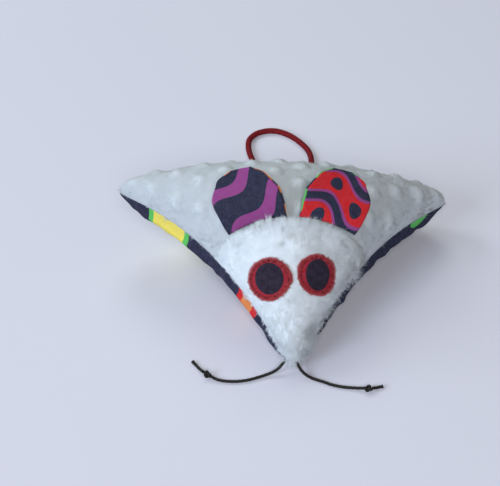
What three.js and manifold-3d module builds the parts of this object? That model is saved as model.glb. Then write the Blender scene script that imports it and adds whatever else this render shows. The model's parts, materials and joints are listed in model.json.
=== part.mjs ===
// Plush toy mouse: a stuffed three-cornered pillow with a head panel, two cloth ears, appliqued eyes,
// two knotted whisker cords at the nose and a cord loop for a tail.
// Millimetres. +X is the viewer's right, the nose points to -Y, +Z is up, and the belly rests on Z = 0.

import * as THREE from 'three';
import { mergeVertices } from 'three/addons/utils/BufferGeometryUtils.js';
import Module from 'manifold-3d';

const wasm = await Module();
wasm.setup();

// The pattern is a triangle with its corners at the two wings and the nose.
const HALF_SPAN = 131;
const NOSE_REACH = 143;
const BACK_BOW = 13;
const SIDE_HOLLOW = 16.4;

// Heights of the seam that runs round the pillow.
const WING_RISE = 38;
const BACK_DIP = 4.6;
const SIDE_ARCH = 16.7;

// How far the two sides swell away from the seam, and how soon: a lower power is fuller at the edge.
const TOP_SWELL = 42.3;
const BELLY_SWELL = 40;
const TOP_POWER = 0.4;
const BELLY_POWER = 0.5;
const TOP_LOAD_SHARE = 0.12;
const BELLY_LOAD_SHARE = 0.2;
const CORNER_ROUND_SHARE = 0.03;
const NOSE_ROUND_SHARE = 0.8;
const NOSE_ROUND_POWER = 4;
const CORNER_CROWDING_SHARE = 0.65;

// The pillow leans to its right, and its weight presses the belly flat on the floor.
const LEAN_AXIS = new THREE.Vector3(0, 1, 0);
const LEAN = THREE.MathUtils.degToRad(6.5);
const FLOOR_LEVEL = 1.6;
const FLOOR_SOFTNESS = 1.5;
const FLAT_DEPTH = 0.5;

// Cloth, seams and thread.
const CLOTH = 2;
const CLEARANCE = 0.3;
const THREAD = 0.6;
const SEAM_GAP = THREAD + 2 * CLEARANCE;
const STUFFING_GAP = 0.5;
const HEAD_SEAM_Y = -59.3;
const THREAD_CORNER_SKIP = THREE.MathUtils.degToRad(6);
const HEAD_THREAD_SHARES = [0.012, 0.988];
const SEAM_STEP_SHARE = 0.004;

// Raised dots of the body's plush, on a lattice of equal triangles over the cloth.
const DOT_SPACING = 19.5;
const DOT_DIAMETER = 11.5;
const DOT_RISE = 2.2;
const DOT_SHOULDER = 1.4;
const DOT_SINK = 0.9;
const DOT_ROOT = 1.3;
const DOT_SEAM_MARGIN = 2;
const DOT_EDGE_DROP = 4;
const DOT_WALK = 2;
const DOT_SHOULDER_SHARE = 0.6;
const DOT_FACING_SHARE = 0.45;
const DOT_TURN = THREE.MathUtils.degToRad(22);
const DOT_SHIFT = { x: 12.6, y: 30.8 };

// Ears: two layers of cotton, sewn upright into the head seam and folded back.
const EAR_LENGTH = 38.2;
const EAR_WIDTH = 46;
const EAR_CLOTH = 0.7;
const EAR_BEND = 10;
const EAR_TILT = THREE.MathUtils.degToRad(28.5);
const EAR_CUP = 1.2;
const EAR_HINGE_LIFT = 0.9;
const EAR_SEAT_GAP = 0.75;
const LEFT_EAR_SHARES = [0.085, 0.445];
const RIGHT_EAR_SHARES = [0.515, 0.865];
const EAR_OUTER_SHARES = [0.43, 0.47, 0.51, 0.55, 0.565, 0.535, 0.485, 0.43, 0.23];
const EAR_INNER_SHARES = [0.43, 0.43, 0.43, 0.41, 0.4, 0.34, 0.275, 0.2, 0.04];
const EAR_FOLLOW_SHARE = 0.75;
const EAR_CROWDING_POWER = 1.2;

// Eyes: a round cotton patch on the plush, held by an edge of close stitches.
const EYE_RADIUS = 13.7;
const EYE_CLOTH = 0.8;
const EYE_STITCH = 1.2;
const EYE_PROBE = 1.4;
const LEFT_EYE = { x: -15.9, y: -34.6 };
const RIGHT_EYE = { x: 14.4, y: -32.7 };
const LEFT_EYE_SHARES = [1.06, 1.0, 1.0, 1.0, 1.0, 1.04, 1.09, 1.08, 1.02, 0.97, 0.93, 0.96];
const RIGHT_EYE_SHARES = [0.97, 1.0, 0.97, 0.98, 0.99, 1.0, 0.95, 0.93, 0.9, 0.91, 1.0, 1.04];

// Cords.
const WHISKER_DIAMETER = 2;
const KNOT_DIAMETER = 4.8;
const KNOT_LENGTH = 5;
const KNOT_POWER = 0.7;
const TAIL_DIAMETER = 4;
const LEFT_WHISKER_ROUTE = [
  [-7.9, -68.0, 7.6], [-9.4, -70.0, 6.8], [-12.9, -73.0, 4.5], [-17.3, -74.6, 2.5],
  [-22.2, -75.8, 1.4], [-27.0, -77.1, 1.1], [-31.6, -78.4, 1.1], [-36.0, -79.1, 1.1],
  [-40.5, -79.4, 1.1], [-45.0, -79.1, 1.1], [-49.4, -78.4, 1.2], [-53.6, -77.1, 1.6],
  [-57.0, -75.2, 2.3],
];
const LEFT_KNOT = [-59.4, -73.4, 2.5];
const LEFT_END_ROUTE = [[-61.7, -71.2, 2.2], [-64.2, -67.9, 1.4], [-66.4, -64.6, 1.1], [-68.7, -61.2, 1.1]];
const RIGHT_WHISKER_ROUTE = [
  [-1.2, -69.8, 6.5], [-0.5, -72.0, 5.9], [1.3, -75.3, 4.3], [4.0, -77.8, 2.6],
  [7.4, -79.8, 1.4], [11.1, -81.6, 1.1], [15.0, -83.4, 1.1], [19.2, -85.6, 1.1],
  [23.6, -87.3, 1.1], [28.0, -88.5, 1.1], [32.4, -89.3, 1.2], [36.6, -90.2, 1.6],
  [40.2, -91.0, 2.3],
];
const RIGHT_KNOT = [43.0, -91.5, 2.5];
const RIGHT_END_ROUTE = [[45.8, -91.2, 2.2], [48.3, -90.4, 1.3], [50.4, -89.8, 1.1], [52.8, -89.4, 1.1]];
const TAIL_ROUTE = [
  [-4.9, 70.25, 31.6], [-4.9, 75.5, 31.4], [-5.4, 84.0, 28.5], [-6.6, 91.5, 22.8],
  [-8.6, 99.0, 15.5], [-11.2, 107.5, 8.0], [-14.0, 117.0, 3.6], [-16.4, 126.5, 2.2],
  [-18.9, 136.5, 2.1], [-21.2, 150.0, 2.1], [-20.2, 161.0, 2.1], [-14.9, 168.2, 2.1],
  [-7.4, 171.4, 2.1], [0.1, 171.5, 2.1], [7.5, 168.5, 2.1], [15.0, 162.3, 2.1],
  [21.5, 153.5, 2.1], [25.9, 144.5, 2.1], [27.3, 134.5, 2.1], [25.9, 123.5, 2.4],
  [22.7, 113.0, 5.0], [18.9, 103.5, 11.0], [15.1, 95.0, 18.5], [11.9, 86.5, 25.3],
  [9.3, 76.5, 29.8], [9.1, 70.25, 30.0],
];

// Cutting blocks are larger than the toy.
const BLOCK_SIZE = 600;

// Finenesses of the meshes, which are counts.
const SPOKES = 48;
const RINGS = 9;
const HALVINGS = 40;
const EAR_ROWS = 9;
const EAR_COLUMNS = 9;
const EYE_SPOKES = 24;
const EYE_RINGS = 3;
const DOT_SIDES = 8;
const DOT_REACH = 10;
const CORD_SIDES = 8;
const THREAD_SIDES = 5;
const THREAD_STEPS = 34;
const WHISKER_STEPS = 18;
const WHISKER_END_STEPS = 4;
const KNOT_RINGS = 6;
const TAIL_STEPS = 36;

// Peaks that bring the products of two and of three corner shares to one.
const CORNERS = 3;
const PAIR_PEAK = 4;
const TRIPLE_PEAK = 27;
const MIDDLE_SHARE = 1 / CORNERS;
const THIRD_TURN = (2 * Math.PI) / CORNERS;
const UP = new THREE.Vector3(0, 0, 1);
const LATHE_AXIS = new THREE.Vector3(0, 1, 0);
const TOP = 1;
const BELLY = -1;

const toy = new THREE.Group();

// Materials, one function to each kind of cloth or cord.
function cloth(color) {
  return new THREE.MeshStandardMaterial({ color, roughness: 0.95, metalness: 0, flatShading: true });
}

function plush() {
  return cloth(0xdfe9f2);
}

function printedCotton() {
  return cloth(0x2d3048);
}

function redCotton() {
  return cloth(0xb0232f);
}

function filling() {
  return cloth(0xf4f2ec);
}

function sewingThread() {
  return cloth(0xc9d3dc);
}

function stitchThread() {
  return cloth(0x7f1520);
}

function blackCord() {
  return cloth(0x1f1d1d);
}

function redCord() {
  return cloth(0x7b1a20);
}

function addMesh(name, geometry, material, group = toy) {
  const mesh = new THREE.Mesh(geometry, material);
  mesh.name = name;
  group.add(mesh);
  return mesh;
}

// How full the pillow is at a point of the pattern: one in the middle, nothing on the seam.
function loft([nose, right, left]) {
  const edge = CORNER_ROUND_SHARE * (1 + NOSE_ROUND_SHARE * nose ** NOSE_ROUND_POWER);
  return (TRIPLE_PEAK * nose * right * left - edge) / (1 - edge);
}

// Corner shares along a ray from the pattern's middle, where turn 0 points at the nose.
function raySlopes(turn) {
  return [Math.cos(turn), Math.cos(turn - THIRD_TURN), Math.cos(turn + THIRD_TURN)];
}

function sharesOnRay(slopes, distance) {
  return slopes.map((slope) => MIDDLE_SHARE + distance * slope);
}

// Finds where a test turns from true to false between two values.
function boundary(low, high, isInside) {
  let inside = low;
  let outside = high;
  for (let step = 0; step < HALVINGS; step += 1) {
    const middle = (inside + outside) / 2;
    if (isInside(middle)) {
      inside = middle;
    } else {
      outside = middle;
    }
  }
  return inside;
}

// Evenly spaced turns are drawn towards the corners, where the outline is most curved.
function crowded(turn) {
  return turn - (CORNER_CROWDING_SHARE * Math.sin(CORNERS * turn)) / CORNERS;
}

function sharesAt(turn, reach) {
  const slopes = raySlopes(crowded(turn));
  const seam = boundary(0, 1, (distance) => {
    const shares = sharesOnRay(slopes, distance);
    return Math.min(...shares) > 0 && loft(shares) > 0;
  });
  return sharesOnRay(slopes, reach * seam);
}

// The sheet that the seam lies in, before the toy leans.
function seamSheet([nose, right, left]) {
  const sideLength = Math.hypot(HALF_SPAN, NOSE_REACH);
  const hollow = SIDE_HOLLOW * PAIR_PEAK * nose;
  const x = HALF_SPAN * (right - left) - (hollow * (right - left) * NOSE_REACH) / sideLength;
  const bow = BACK_BOW * PAIR_PEAK * left * right;
  const y = bow - NOSE_REACH * nose + (hollow * (left + right) * HALF_SPAN) / sideLength;
  const rise = WING_RISE * (left + right) - BACK_DIP * PAIR_PEAK * left * right;
  return new THREE.Vector3(x, y, rise + SIDE_ARCH * PAIR_PEAK * (left + right) * nose);
}

// The floor stops the belly, softly round the edge of where it rests.
function pressed(point) {
  const leant = point.clone().applyAxisAngle(LEAN_AXIS, LEAN);
  const height = (leant.z - FLOOR_LEVEL) / FLOOR_SOFTNESS;
  leant.z = FLOOR_LEVEL + FLOOR_SOFTNESS * Math.log1p(Math.exp(height));
  return leant.applyAxisAngle(LEAN_AXIS, -LEAN);
}

function sidePoint(side, shares, lift = SEAM_GAP / 2) {
  const point = seamSheet(shares);
  const fullness = Math.max(0, loft(shares));
  const towardsBack = MIDDLE_SHARE - shares[0];
  if (side === TOP) {
    point.z += lift + TOP_SWELL * fullness ** TOP_POWER * (1 + TOP_LOAD_SHARE * towardsBack);
    return point;
  }
  point.z -= lift + BELLY_SWELL * fullness ** BELLY_POWER * (1 + BELLY_LOAD_SHARE * towardsBack);
  return pressed(point);
}

// One side as a middle point and rings of points out to the seam.
function sidePoints(side, lift) {
  const points = [sidePoint(side, sharesAt(0, 0), lift)];
  for (let ring = 1; ring <= RINGS; ring += 1) {
    const reach = Math.sin((Math.PI / 2) * (ring / RINGS));
    for (let spoke = 0; spoke < SPOKES; spoke += 1) {
      points.push(sidePoint(side, sharesAt((2 * Math.PI * spoke) / SPOKES, reach), lift));
    }
  }
  return points;
}

// Triangles of a disc of rings round a middle point, facing up.
function discFaces(rings, spokes) {
  const faces = [];
  const at = (ring, spoke) => (ring === 0 ? 0 : 1 + (ring - 1) * spokes + (spoke % spokes));
  for (let spoke = 0; spoke < spokes; spoke += 1) {
    faces.push([0, at(1, spoke), at(1, spoke + 1)]);
    for (let ring = 1; ring < rings; ring += 1) {
      faces.push([at(ring, spoke), at(ring + 1, spoke), at(ring + 1, spoke + 1)]);
      faces.push([at(ring, spoke), at(ring + 1, spoke + 1), at(ring, spoke + 1)]);
    }
  }
  return faces;
}

// The indices of a disc's outermost ring, in order.
function discRim(rings, spokes) {
  const first = 1 + (rings - 1) * spokes;
  return Array.from({ length: spokes }, (_, spoke) => first + spoke);
}

// Triangles of a grid of rows and columns, and its rim in order.
function gridFaces(rows, columns) {
  const faces = [];
  for (let row = 0; row < rows; row += 1) {
    for (let column = 0; column < columns; column += 1) {
      const corner = row * (columns + 1) + column;
      const above = corner + columns + 1;
      faces.push([corner, corner + 1, above + 1], [corner, above + 1, above]);
    }
  }
  return faces;
}

function gridRim(rows, columns) {
  const at = (row, column) => row * (columns + 1) + column;
  const rim = [];
  for (let column = 0; column < columns; column += 1) {
    rim.push(at(0, column));
  }
  for (let row = 0; row < rows; row += 1) {
    rim.push(at(row, columns));
  }
  for (let column = columns; column > 0; column -= 1) {
    rim.push(at(rows, column));
  }
  for (let row = rows; row > 0; row -= 1) {
    rim.push(at(row, 0));
  }
  return rim;
}

function geometryOf(points, faces) {
  const geometry = new THREE.BufferGeometry();
  const numbers = points.flatMap((point) => point.toArray());
  geometry.setAttribute('position', new THREE.Float32BufferAttribute(numbers, 3));
  geometry.setIndex(faces.flat());
  geometry.computeVertexNormals();
  return geometry;
}

function normalsOf(points, faces) {
  const normals = geometryOf(points, faces).getAttribute('normal');
  return points.map((_, index) => new THREE.Vector3().fromBufferAttribute(normals, index));
}

// Closes two equal sheets, the first facing out, with a strip along their rims.
function closeSheets(outside, inside, faces, rim) {
  const count = outside.length;
  const closed = faces.map((face) => [...face]);
  for (const [a, b, c] of faces) {
    closed.push([a + count, c + count, b + count]);
  }
  for (let index = 0; index < rim.length; index += 1) {
    const here = rim[index];
    const next = rim[(index + 1) % rim.length];
    closed.push([next, here, here + count], [next, here + count, next + count]);
  }
  return geometryOf([...outside, ...inside], closed);
}

// The pillow leans about the Y axis. Its box then stands centred on the origin, with the belly's
// lowest point just under the floor, where it is cut flat.
const leaned = (point) => point.clone().applyAxisAngle(LEAN_AXIS, LEAN);
const leanedBox = new THREE.Box3().setFromPoints([...sidePoints(TOP), ...sidePoints(BELLY)].map(leaned));
const ORIGIN = leanedBox.getCenter(new THREE.Vector3()).setZ(leanedBox.min.z + FLAT_DEPTH);

function place(point) {
  return leaned(point).sub(ORIGIN);
}

function unplace(point) {
  return point.clone().add(ORIGIN).applyAxisAngle(LEAN_AXIS, -LEAN);
}

const PILLOW_RIM = discRim(RINGS, SPOKES);
const PILLOW_FACES = { [TOP]: discFaces(RINGS, SPOKES) };
PILLOW_FACES[BELLY] = PILLOW_FACES[TOP].map(([a, b, c]) => [a, c, b]);

// A side's points moved inwards by a depth. On the seam they move level with it.
function insetPoints(side, depth, lift) {
  const points = sidePoints(side, lift);
  const normals = normalsOf(points, PILLOW_FACES[side]);
  for (const index of PILLOW_RIM) {
    normals[index].setZ(0).normalize();
  }
  return points.map((point, index) => point.addScaledVector(normals[index], -depth));
}

function panelGeometry(side) {
  const outside = sidePoints(side).map(place);
  const inside = insetPoints(side, CLOTH).map(place);
  const rim = side === TOP ? PILLOW_RIM : [...PILLOW_RIM].reverse();
  return closeSheets(outside, inside, PILLOW_FACES[side], rim);
}

function stuffingGeometry() {
  const depth = CLOTH + STUFFING_GAP;
  const top = insetPoints(TOP, depth, 0).map(place);
  const belly = insetPoints(BELLY, depth, 0).map(place);
  for (const index of PILLOW_RIM) {
    belly[index].copy(top[index]);
  }
  const shifted = PILLOW_FACES[BELLY].map((face) => face.map((index) => index + top.length));
  return geometryOf([...top, ...belly], [...PILLOW_FACES[TOP], ...shifted]);
}

// Cuts and joins work on closed meshes with shared vertices.
function solidOf(geometry) {
  const bare = geometry.clone();
  bare.deleteAttribute('normal');
  bare.deleteAttribute('uv');
  const merged = mergeVertices(bare);
  return new wasm.Manifold(new wasm.Mesh({
    numProp: 3,
    vertProperties: new Float32Array(merged.getAttribute('position').array),
    triVerts: new Uint32Array(merged.index.array),
  }));
}

function geometryFrom(solid) {
  const { vertProperties, triVerts } = solid.getMesh();
  const geometry = new THREE.BufferGeometry();
  geometry.setAttribute('position', new THREE.Float32BufferAttribute(vertProperties, 3));
  geometry.setIndex(Array.from(triVerts));
  geometry.computeVertexNormals();
  return geometry;
}

// A cube that is larger than the toy, moved along Y and Z.
function largeBlock(shiftY, shiftZ) {
  const block = new THREE.BoxGeometry(BLOCK_SIZE, BLOCK_SIZE, BLOCK_SIZE);
  return solidOf(block.translate(0, shiftY, shiftZ));
}

function topPanelPart(direction) {
  const seamY = HEAD_SEAM_Y - ORIGIN.y;
  const block = largeBlock(seamY + (direction * (BLOCK_SIZE + SEAM_GAP)) / 2, 0);
  return solidOf(panelGeometry(TOP)).intersect(block);
}

function bellyPanel() {
  return geometryFrom(solidOf(panelGeometry(BELLY)).intersect(largeBlock(0, BLOCK_SIZE / 2)));
}

// Whether a point lies under the top, found by walking the pattern to the place below it.
function isUnderTop(point) {
  const own = unplace(point);
  let nose = -own.y / NOSE_REACH;
  let side = own.x / HALF_SPAN;
  let shares = [];
  for (let step = 0; step < HALVINGS; step += 1) {
    shares = [nose, (1 - nose + side) / 2, (1 - nose - side) / 2];
    const found = seamSheet(shares);
    nose -= (own.y - found.y) / NOSE_REACH;
    side += (own.x - found.x) / HALF_SPAN;
  }
  return Math.min(...shares) > 0 && loft(shares) > 0 && own.z < sidePoint(TOP, shares).z;
}

function dropTo(start, direction, range) {
  const along = (distance) => start.clone().addScaledVector(direction, distance);
  return boundary(-range, range, (distance) => isUnderTop(along(distance)));
}

function topOver(x, y) {
  const start = new THREE.Vector3(x, y, TOP_SWELL);
  return start.addScaledVector(UP, dropTo(start, UP, TOP_SWELL));
}

// A frame flat against the plush at its middle, with its y towards the toy's back.
function plushFrame({ x, y }) {
  const middle = topOver(x, y);
  const across = topOver(x + EYE_PROBE, y).sub(topOver(x - EYE_PROBE, y)).normalize();
  const upwards = topOver(x, y + EYE_PROBE).sub(topOver(x, y - EYE_PROBE)).normalize();
  const outward = across.clone().cross(upwards).normalize();
  return { middle, across: upwards.clone().cross(outward), upwards, outward };
}

// A point over the plush, at a turn and a distance from a frame's middle, lifted off the plush.
function plushPoint(frame, turn, distance, lift) {
  const start = frame.middle.clone();
  start.addScaledVector(frame.across, distance * Math.cos(turn));
  start.addScaledVector(frame.upwards, distance * Math.sin(turn));
  const drop = dropTo(start, frame.outward, EYE_RADIUS);
  return start.addScaledVector(frame.outward, drop + lift);
}

// Places of the dots in plan, found by walking over the top from its middle. The walk takes the mean
// of the way over the cloth and the way in plan, because the cloth is stretched.
function dotPlace(u, v) {
  const middle = place(sidePoint(TOP, sharesAt(0, 0)));
  const reach = Math.hypot(u - middle.x, v - middle.y);
  const turn = Math.atan2(v - middle.y, u - middle.x);
  let before = middle;
  let walked = 0;
  let plan = 0;
  while (walked < reach && plan < HALF_SPAN) {
    const step = Math.min(DOT_WALK, reach - walked);
    plan += step;
    const here = topOver(middle.x + plan * Math.cos(turn), middle.y + plan * Math.sin(turn));
    const over = here.distanceTo(before);
    const mean = (over + step) / 2;
    if (walked + mean >= reach) {
      plan -= step * (1 - (reach - walked) / mean);
    }
    walked += mean;
    before = here;
  }
  return { x: middle.x + plan * Math.cos(turn), y: middle.y + plan * Math.sin(turn) };
}

// A dot is a low dome whose root is inside the cloth. There is none where the cloth turns down.
function dotSolid(u, v) {
  const { x, y } = dotPlace(u, v);
  if (y - DOT_DIAMETER / 2 < HEAD_SEAM_Y - ORIGIN.y + SEAM_GAP / 2 + DOT_SEAM_MARGIN) {
    return null;
  }
  const frame = plushFrame({ x, y });
  const radius = DOT_DIAMETER / 2;
  const rings = [[radius, -DOT_SINK], [radius * DOT_SHOULDER_SHARE, DOT_SHOULDER]];
  const points = [plushPoint(frame, 0, 0, -DOT_ROOT)];
  for (const [distance, lift] of rings) {
    for (let side = 0; side < DOT_SIDES; side += 1) {
      points.push(plushPoint(frame, (2 * Math.PI * side) / DOT_SIDES, distance, lift));
    }
  }
  points.push(plushPoint(frame, 0, 0, DOT_RISE));
  const root = points.slice(0, 1 + DOT_SIDES);
  const deepest = Math.min(...root.map((point) => point.clone().sub(frame.middle).dot(frame.outward)));
  const isSteep = frame.outward.z < DOT_FACING_SHARE || deepest < -DOT_EDGE_DROP;
  if (isSteep || !root.every((point) => isUnderTop(point))) {
    return null;
  }
  const faces = [];
  const top = points.length - 1;
  for (let side = 0; side < DOT_SIDES; side += 1) {
    const here = 1 + side;
    const next = 1 + ((side + 1) % DOT_SIDES);
    faces.push([0, next, here], [here, next, next + DOT_SIDES], [here, next + DOT_SIDES, here + DOT_SIDES]);
    faces.push([here + DOT_SIDES, next + DOT_SIDES, top]);
  }
  return solidOf(geometryOf(points, faces));
}

// Rows of the lattice lie half a spacing apart along u and half a height apart along v.
function bodyDots() {
  const height = DOT_SPACING * Math.sqrt(3);
  const dots = [];
  for (let row = -2 * DOT_REACH; row <= 2 * DOT_REACH; row += 1) {
    for (let column = -DOT_REACH; column <= DOT_REACH; column += 1) {
      const along = (column + (row % 2 === 0 ? 0 : 0.5)) * DOT_SPACING - DOT_SHIFT.x;
      const across = (row * height) / 2 - DOT_SHIFT.y;
      const u = along * Math.cos(DOT_TURN) - across * Math.sin(DOT_TURN);
      const v = along * Math.sin(DOT_TURN) + across * Math.cos(DOT_TURN);
      const isNear = Math.abs(u) < HALF_SPAN && Math.abs(v) < NOSE_REACH;
      const dot = isNear ? dotSolid(u, v) : null;
      if (dot) {
        dots.push(dot);
      }
    }
  }
  return dots;
}

// A point of the top on the head seam, from the left seam at across 0 to the right seam at 1.
function headSeamShares(across) {
  const sharesFor = (nose) => [nose, (1 - nose) * across, (1 - nose) * (1 - across)];
  const nose = boundary(0, 1, (share) => seamSheet(sharesFor(share)).y > HEAD_SEAM_Y);
  return sharesFor(nose);
}

function headSeamPoint(across, depth = 0) {
  const point = sidePoint(TOP, headSeamShares(across));
  const before = sidePoint(TOP, headSeamShares(across - SEAM_STEP_SHARE));
  const after = sidePoint(TOP, headSeamShares(across + SEAM_STEP_SHARE));
  const along = after.sub(before).normalize();
  const outward = new THREE.Vector3(0, -1, 0).cross(along);
  return place(point.addScaledVector(outward, -depth));
}

function tube(points, diameter, sides, steps) {
  const section = new THREE.Shape();
  for (let side = 0; side < sides; side += 1) {
    const turn = (2 * Math.PI * side) / sides;
    const x = (diameter / 2) * Math.cos(turn);
    const y = (diameter / 2) * Math.sin(turn);
    if (side === 0) {
      section.moveTo(x, y);
    } else {
      section.lineTo(x, y);
    }
  }
  section.closePath();
  const extrudePath = new THREE.CatmullRomCurve3(points, false, 'centripetal');
  return new THREE.ExtrudeGeometry(section, { steps, extrudePath, bevelEnabled: false });
}

// Thread of the pillow's seam between two of its corners, in the middle of the cloth's edge.
function seamThread(firstTurn) {
  const span = THIRD_TURN - 2 * THREAD_CORNER_SKIP;
  const points = [];
  for (let step = 0; step <= THREAD_STEPS; step += 1) {
    const turn = firstTurn + THREAD_CORNER_SKIP + (span * step) / THREAD_STEPS;
    const point = seamSheet(sharesAt(turn, 1));
    const before = seamSheet(sharesAt(turn - THREAD_CORNER_SKIP / 2, 1));
    const after = seamSheet(sharesAt(turn + THREAD_CORNER_SKIP / 2, 1));
    const along = after.sub(before).normalize();
    const outward = along.cross(UP).setZ(0).normalize();
    points.push(place(point.addScaledVector(outward, -CLOTH / 2)));
  }
  return tube(points, THREAD, THREAD_SIDES, THREAD_STEPS);
}

function headSeamThread() {
  const [low, high] = HEAD_THREAD_SHARES;
  const points = [];
  for (let step = 0; step <= THREAD_STEPS; step += 1) {
    const swing = (1 - Math.cos((Math.PI * step) / THREAD_STEPS)) / 2;
    points.push(headSeamPoint(low + (high - low) * swing, CLOTH / 2));
  }
  return tube(points, THREAD, THREAD_SIDES, THREAD_STEPS);
}

// Reads a table of shares as a smooth curve, from its first share at 0 to its last at 1.
function readShares(shares, reach) {
  const points = shares.map((share, index) => new THREE.Vector2(index, share));
  return new THREE.SplineCurve(points).getPoint(reach).y;
}

// An ear's frame: its origin on the hinge line, x along it, y back over the body and z up.
function earFrame(shares) {
  const start = headSeamPoint(shares[0]);
  const end = headSeamPoint(shares[1]);
  const middle = headSeamPoint((shares[0] + shares[1]) / 2);
  const along = end.clone().sub(start).normalize();
  const back = UP.clone().cross(along).normalize();
  const up = along.clone().cross(back);
  const rise = middle.clone().sub(start).dot(up);
  const origin = start.clone().add(end).divideScalar(2);
  origin.addScaledVector(up, rise + EAR_SEAT_GAP + EAR_HINGE_LIFT);
  return { origin, along, back, up, width: end.distanceTo(start) };
}

// Where the ear's cloth stands after rising straight from the seam and then bending back.
function earProfile(distance) {
  const bend = Math.min(distance, EAR_BEND);
  const turned = Math.PI / 2 - EAR_TILT;
  const angle = (turned * bend) / EAR_BEND;
  const radius = EAR_BEND / turned;
  const straight = distance - bend;
  const y = radius * (1 - Math.cos(angle)) + straight * Math.sin(angle);
  const z = radius * Math.sin(angle) + straight * Math.cos(angle);
  return new THREE.Vector2(y, z);
}

function earSheet(frame, shares, outerSign) {
  const points = [];
  for (let row = 0; row <= EAR_ROWS; row += 1) {
    const reach = Math.sin((Math.PI / 2) * (row / EAR_ROWS)) ** EAR_CROWDING_POWER;
    const distance = EAR_LENGTH * reach;
    const outer = EAR_WIDTH * readShares(EAR_OUTER_SHARES, reach);
    const inner = EAR_WIDTH * readShares(EAR_INNER_SHARES, reach);
    const [low, high] = outerSign < 0 ? [-outer, inner] : [-inner, outer];
    for (let column = 0; column <= EAR_COLUMNS; column += 1) {
      const across = column / EAR_COLUMNS;
      const x = low + (high - low) * across;
      const profile = earProfile(distance);
      const seam = headSeamPoint(shares[0] + (shares[1] - shares[0]) * across);
      const seamRise = seam.sub(frame.origin).dot(frame.up) + EAR_SEAT_GAP + EAR_HINGE_LIFT;
      const settle = EAR_FOLLOW_SHARE * Math.max(0, 1 - distance / (2 * EAR_BEND)) ** 2;
      const cup = EAR_CUP * (2 * across - 1) ** 2 * reach;
      const z = profile.y - EAR_HINGE_LIFT + seamRise * settle + cup;
      points.push(new THREE.Vector3(x, profile.x - cup, z));
    }
  }
  return points;
}

// The front or the back layer of an ear, each beside the sheet between them.
function earLayer(sheet, side) {
  const faces = gridFaces(EAR_ROWS, EAR_COLUMNS);
  const normals = normalsOf(sheet, faces);
  const offset = (distance) => sheet.map(
    (point, index) => point.clone().addScaledVector(normals[index], distance),
  );
  const rim = gridRim(EAR_ROWS, EAR_COLUMNS);
  const near = (side * CLEARANCE) / 2;
  const far = near + side * EAR_CLOTH;
  const [outside, inside] = side > 0 ? [far, near] : [near, far];
  return closeSheets(offset(outside), offset(inside), faces, rim);
}

function addEar(name, shares, outerSign) {
  const frame = earFrame(shares);
  const ear = new THREE.Group();
  ear.position.copy(frame.origin);
  const turn = new THREE.Matrix4().makeBasis(frame.along, frame.back, frame.up);
  ear.setRotationFromMatrix(turn);
  const sheet = earSheet(frame, shares, outerSign);
  addMesh(`${name}_front`, earLayer(sheet, 1), printedCotton(), ear);
  addMesh(`${name}_back`, earLayer(sheet, -1), printedCotton(), ear);
  toy.add(ear);
}

// How far an eye's edge is from its middle, at a turn.
function eyeEdge(shares, turn) {
  return EYE_RADIUS * readShares([...shares, shares[0]], turn / (2 * Math.PI));
}

function eyeSheet(frame, shares, lift) {
  const points = [plushPoint(frame, 0, 0, lift)];
  for (let ring = 1; ring <= EYE_RINGS; ring += 1) {
    for (let spoke = 0; spoke < EYE_SPOKES; spoke += 1) {
      const turn = (2 * Math.PI * spoke) / EYE_SPOKES;
      const distance = (eyeEdge(shares, turn) * ring) / EYE_RINGS;
      points.push(plushPoint(frame, turn, distance, lift));
    }
  }
  return points;
}

function eyePatch(frame, shares) {
  const outside = eyeSheet(frame, shares, CLEARANCE + EYE_CLOTH);
  const inside = eyeSheet(frame, shares, CLEARANCE);
  return closeSheets(outside, inside, discFaces(EYE_RINGS, EYE_SPOKES), discRim(EYE_RINGS, EYE_SPOKES));
}

function eyeStitching(frame, shares) {
  const points = [];
  for (let spoke = 0; spoke < EYE_SPOKES; spoke += 1) {
    const turn = (2 * Math.PI * spoke) / EYE_SPOKES;
    const distance = eyeEdge(shares, turn) + CLEARANCE + EYE_STITCH / 2;
    points.push(plushPoint(frame, turn, distance, CLEARANCE + EYE_STITCH / 2));
  }
  const path = new THREE.CatmullRomCurve3(points, true, 'centripetal');
  return new THREE.TubeGeometry(path, 2 * EYE_SPOKES, EYE_STITCH / 2, THREAD_SIDES, true);
}

function addEye(name, centre, shares) {
  const frame = plushFrame(centre);
  addMesh(`${name}_patch`, eyePatch(frame, shares), redCotton());
  addMesh(`${name}_stitching`, eyeStitching(frame, shares), stitchThread());
}

const vectors = (route) => route.map((point) => new THREE.Vector3(...point));

// A knot is a barrel round the cord, turned to the way the cord runs through it.
function knotGeometry() {
  const profile = [];
  for (let ring = 0; ring <= KNOT_RINGS; ring += 1) {
    const turn = (Math.PI * ring) / KNOT_RINGS;
    const isEnd = ring % KNOT_RINGS === 0;
    const radius = isEnd ? 0 : (KNOT_DIAMETER / 2) * Math.sin(turn) ** KNOT_POWER;
    profile.push(new THREE.Vector2(radius, (-KNOT_LENGTH / 2) * Math.cos(turn)));
  }
  return new THREE.LatheGeometry(profile, CORD_SIDES);
}

function addWhisker(name, route, knotPlace, endRoute) {
  const cord = vectors(route);
  const end = vectors(endRoute);
  addMesh(name, tube(cord, WHISKER_DIAMETER, CORD_SIDES, WHISKER_STEPS), blackCord());
  const knot = addMesh(`${name}_knot`, knotGeometry(), blackCord());
  knot.position.set(...knotPlace);
  const through = end[0].clone().sub(cord[cord.length - 1]).normalize();
  knot.quaternion.setFromUnitVectors(LATHE_AXIS, through);
  addMesh(`${name}_end`, tube(end, WHISKER_DIAMETER, CORD_SIDES, WHISKER_END_STEPS), blackCord());
}

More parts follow.
